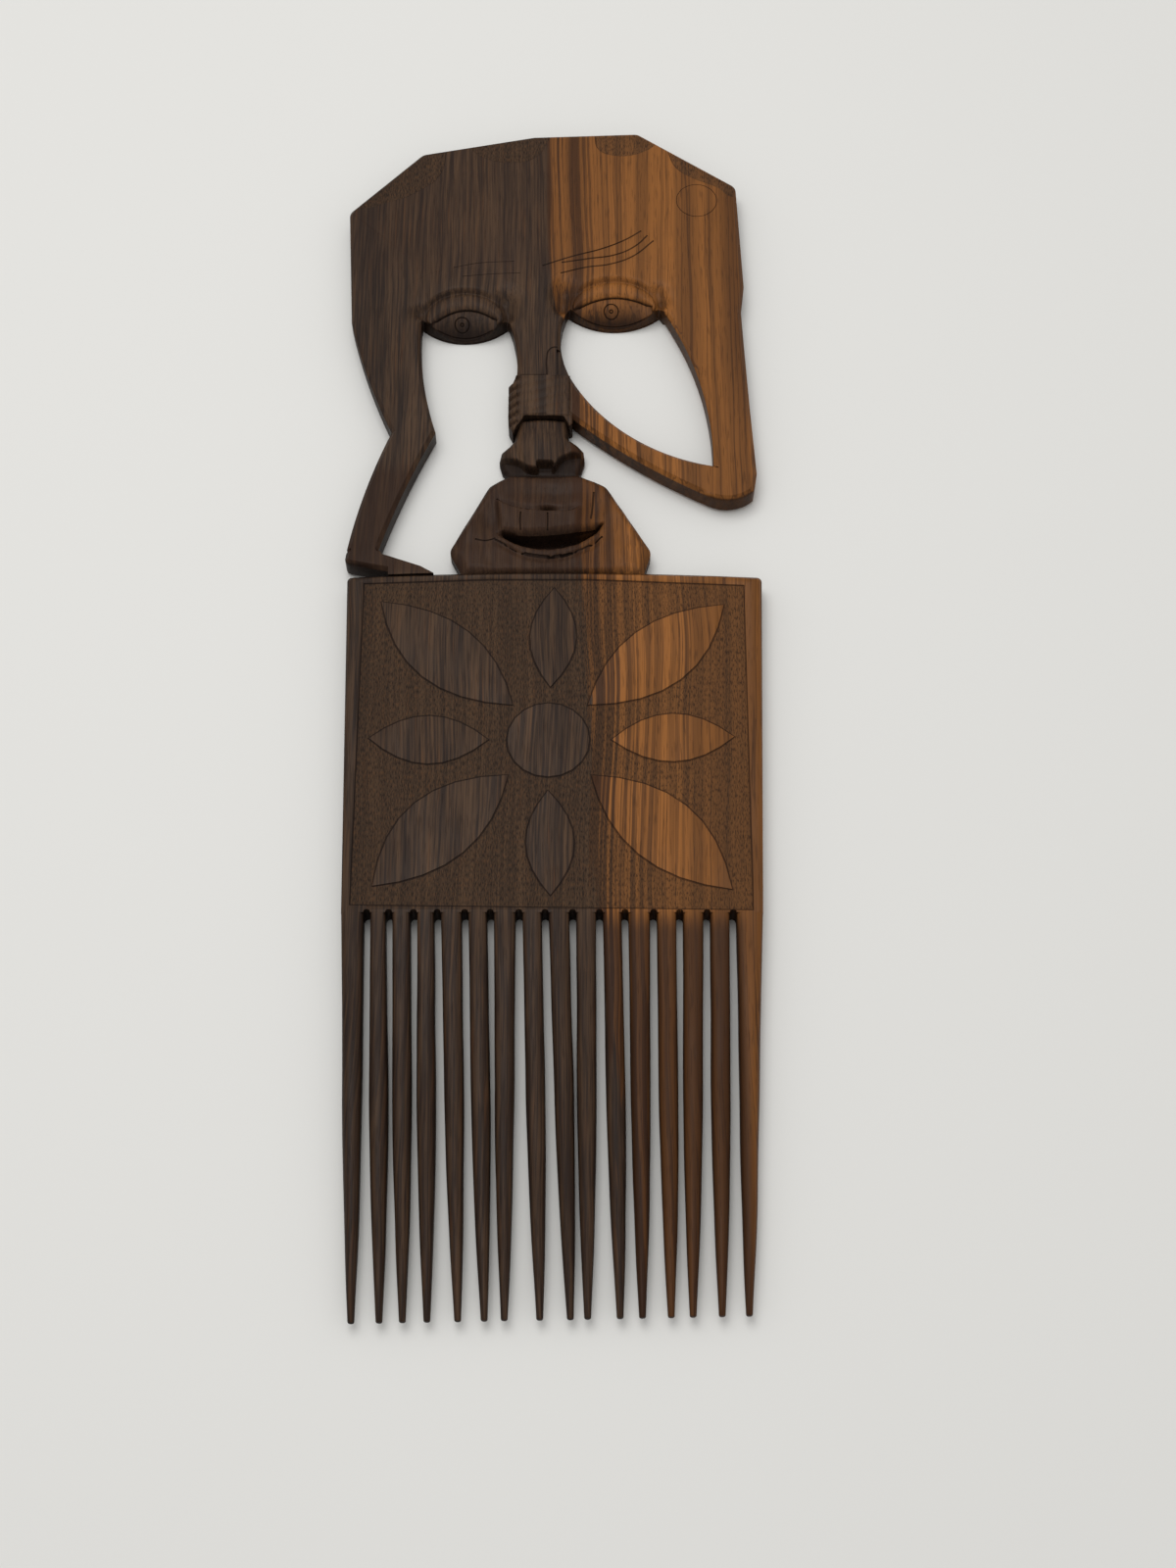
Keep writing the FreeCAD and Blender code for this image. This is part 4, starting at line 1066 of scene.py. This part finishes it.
class PICK_OT_panel(bpy.types.Operator):
    """Engrave the comb panel: a border, polished leaves and a punched ground between them"""
    bl_idname = "pick.panel"
    bl_label = "Comb Panel"

    def execute(self, context):
        sizes = context.scene.pick_sizes
        polished, punched, wax_and_shade_cut = woods(context)
        panel = wooden(piece_from("engraved_panel", welded_copy("comb_panel")), polished)
        outlines = [(BORDER, True, "VECTOR")] + [(motif, True, "VECTOR") for motif in MOTIFS]
        ground = FRONT - sizes.ground_depth / MM
        combine(panel, slab("ground", outlines, ground, ABOVE, punched), "DIFFERENCE")
        cut_lines(panel, outlines, sizes.line_width, wax_and_shade_cut)
        finish_piece(panel, ["comb_panel"], 30)
        keep_flats(panel)
        return {"FINISHED"}


# Teeth

# Share of a tooth's length where its section is measured, and how square the section is there.
TOOTH_STOPS = (0.0, 0.22, 0.51, 0.80, 1.0)
TOOTH_SQUARE = (7.0, 3.6, 2.6, 2.3, 2.2)
TOOTH_RINGS = 26
# How far a section is measured inside a tooth's ends, how far a tooth wavers, and how its tip is rounded.
TOOTH_INSET = 0.02
TOOTH_WAVER = 0.12
TIP_ROUND = 0.45


def section_of(mesh, y):
    """Middle across, width, middle height and depth of a solid's section at y, in metres."""
    spots = []
    for edge in mesh.edges:
        first, second = (mesh.vertices[index].co for index in edge.vertices)
        if (first.y - y) * (second.y - y) <= 0 and abs(first.y - second.y) > 1e-9:
            spots.append(first.lerp(second, (y - first.y) / (second.y - first.y)))
    xs = [spot.x for spot in spots]
    zs = [spot.z for spot in spots]
    return (min(xs) + max(xs)) / 2, max(xs) - min(xs), (min(zs) + max(zs)) / 2, max(zs) - min(zs)


def set_ring(verts, centre, width, depth, square, previous):
    """Puts a ring of vertices on a rounded oblong. Previous is the oblong that it lies on now."""
    old_centre, old_width, old_depth = previous
    for vert in verts:
        turn = math.atan2((vert.co.z - old_centre.z) / old_depth, (vert.co.x - old_centre.x) / old_width)
        across = math.cos(turn)
        up = math.sin(turn)
        size = (abs(across) ** square + abs(up) ** square) ** (-1 / square) / 2
        vert.co = centre + Vector((across * size * width, 0, up * size * depth))


def whittled_tooth(node, sides):
    """A tooth lofted ring by ring through the sections of its solid, with a rounded tip."""
    low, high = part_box(node)
    root = high.y - TOOTH_INSET * MM
    tip = low.y + TOOTH_INSET * MM
    stations = [section_of(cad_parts[node].data, mix(root, tip, stop)) for stop in TOOTH_STOPS]
    work = bmesh.new()
    bmesh.ops.create_circle(work, cap_ends=False, segments=sides, radius=0.5)
    upright = Matrix.Rotation(math.radians(90), 3, "X")
    bmesh.ops.rotate(work, verts=work.verts, cent=(0, 0, 0), matrix=upright)
    verts = list(work.verts)
    edges = list(work.edges)
    previous = (Vector((0, 0, 0)), 1.0, 1.0)
    first_edges = edges
    for number in range(TOOTH_RINGS):
        share = number / (TOOTH_RINGS - 1)
        middle, width, level, depth = (glide(TOOTH_STOPS, [station[part] for station in stations], share)
                                       for part in range(4))
        waver = TOOTH_WAVER * MM * noise.noise(Vector((share * 6, high.x / MM, 2.0)))
        waver *= step(0.0, 0.2, share)
        if number:
            grown = bmesh.ops.extrude_edge_only(work, edges=edges)["geom"]
            verts = [item for item in grown if isinstance(item, bmesh.types.BMVert)]
            edges = [item for item in grown if isinstance(item, bmesh.types.BMEdge)
                     and all(vert in verts for vert in item.verts)]
        centre = Vector((middle + waver, mix(high.y, low.y, share), level))
        set_ring(verts, centre, width, depth, glide(TOOTH_STOPS, TOOTH_SQUARE, share), previous)
        previous = (centre, width, depth)
    bmesh.ops.edgeloop_fill(work, edges=first_edges)
    cap = bmesh.ops.edgeloop_fill(work, edges=edges)["faces"]
    bmesh.ops.recalc_face_normals(work, faces=work.faces)
    rim = [edge for face in cap for edge in face.edges]
    bmesh.ops.bevel(work, geom=rim, offset=TIP_ROUND * MM, affect="EDGES", segments=3, profile=0.5,
                    material=-1, clamp_overlap=True)
    return piece_from(f"whittled_{node}", work)


class PICK_OT_teeth(bpy.types.Operator):
    """Whittle the row of tapered teeth"""
    bl_idname = "pick.teeth"
    bl_label = "Teeth"

    def execute(self, context):
        polished = woods(context)[0]
        for number, node in enumerate(TEETH, start=1):
            tooth = wooden(whittled_tooth(node, context.scene.pick_sizes.tooth_sides), polished)
            finish_piece(tooth, [node], 50)
        return {"FINISHED"}


# Stage

# Camera worked out from the photograph's view: 26 degrees off upright, 0.7 m from the comb. In millimetres.
CAMERA_PLACE = (10.3, -320.0, 629.4)
CAMERA_TILT = 26.13
CAMERA_LENS = 54.09
FLOOR_SIZE = 6.0
WORLD_LIGHT = 0.6
LAMP_PLACE = (-0.25, 0.4, 1.4)
LAMP_SIZE = 1.0
LAMP_POWER = 10.0


class PICK_OT_stage(bpy.types.Operator):
    """Lay the pale floor and set the soft light and the camera"""
    bl_idname = "pick.stage"
    bl_label = "Stage"

    def execute(self, context):
        scene = context.scene
        work = bmesh.new()
        bmesh.ops.create_grid(work, x_segments=1, y_segments=1, size=FLOOR_SIZE / 2)
        floor = piece_from("floor", work)
        floor.data.materials.append(material_of(context, "matt_pale_laminate", laminate))

        world = bpy.data.worlds.new("studio")
        world.use_nodes = True
        sky = world.node_tree.nodes["Background"].inputs
        sky["Color"].default_value = (1.0, 1.0, 1.0, 1.0)
        sky["Strength"].default_value = WORLD_LIGHT
        scene.world = world

        lamp = bpy.data.lights.new("softbox", "AREA")
        lamp.size = LAMP_SIZE
        lamp.energy = LAMP_POWER
        holder = new_piece("softbox", lamp)
        holder.location = LAMP_PLACE
        holder.rotation_euler = (-Vector(LAMP_PLACE)).to_track_quat("-Z", "Y").to_euler()

        lens = bpy.data.cameras.new("camera")
        lens.lens = CAMERA_LENS
        camera = new_piece("camera", lens)
        camera.location = Vector(CAMERA_PLACE) * MM
        camera.rotation_euler = (math.radians(CAMERA_TILT), 0.0, 0.0)
        scene.camera = camera
        scene.view_settings.view_transform = "Standard"
        return {"FINISHED"}


OPERATORS = (PICK_OT_head_plate, PICK_OT_hand, PICK_OT_nose, PICK_OT_mouth, PICK_OT_panel,
             PICK_OT_teeth, PICK_OT_stage)


class PICK_PT_sidebar(bpy.types.Panel):
    """Lists the pick's sizes, colours and pieces"""
    bl_label = "Carved Hair Pick"
    bl_idname = "PICK_PT_sidebar"
    bl_space_type = "VIEW_3D"
    bl_region_type = "UI"
    bl_category = "Pick"

    def draw(self, context):
        for group in (context.scene.pick_sizes, context.scene.pick_colours):
            for name in group.__annotations__:
                self.layout.prop(group, name)
        for operator in OPERATORS:
            self.layout.operator(operator.bl_idname)


CLASSES = (PickSizes, PickColours) + OPERATORS + (PICK_PT_sidebar,)


def register():
    for each in CLASSES:
        bpy.utils.register_class(each)
    bpy.types.Scene.pick_sizes = bpy.props.PointerProperty(type=PickSizes)
    bpy.types.Scene.pick_colours = bpy.props.PointerProperty(type=PickColours)


def unregister():
    del bpy.types.Scene.pick_colours
    del bpy.types.Scene.pick_sizes
    for each in reversed(CLASSES):
        bpy.utils.unregister_class(each)


def main():
    register()
    bpy.ops.pick.stage()
    bpy.ops.pick.panel()
    bpy.ops.pick.teeth()
    bpy.ops.pick.head_plate()
    bpy.ops.pick.hand()
    bpy.ops.pick.nose()
    bpy.ops.pick.mouth()


if __name__ == "__main__":
    main()
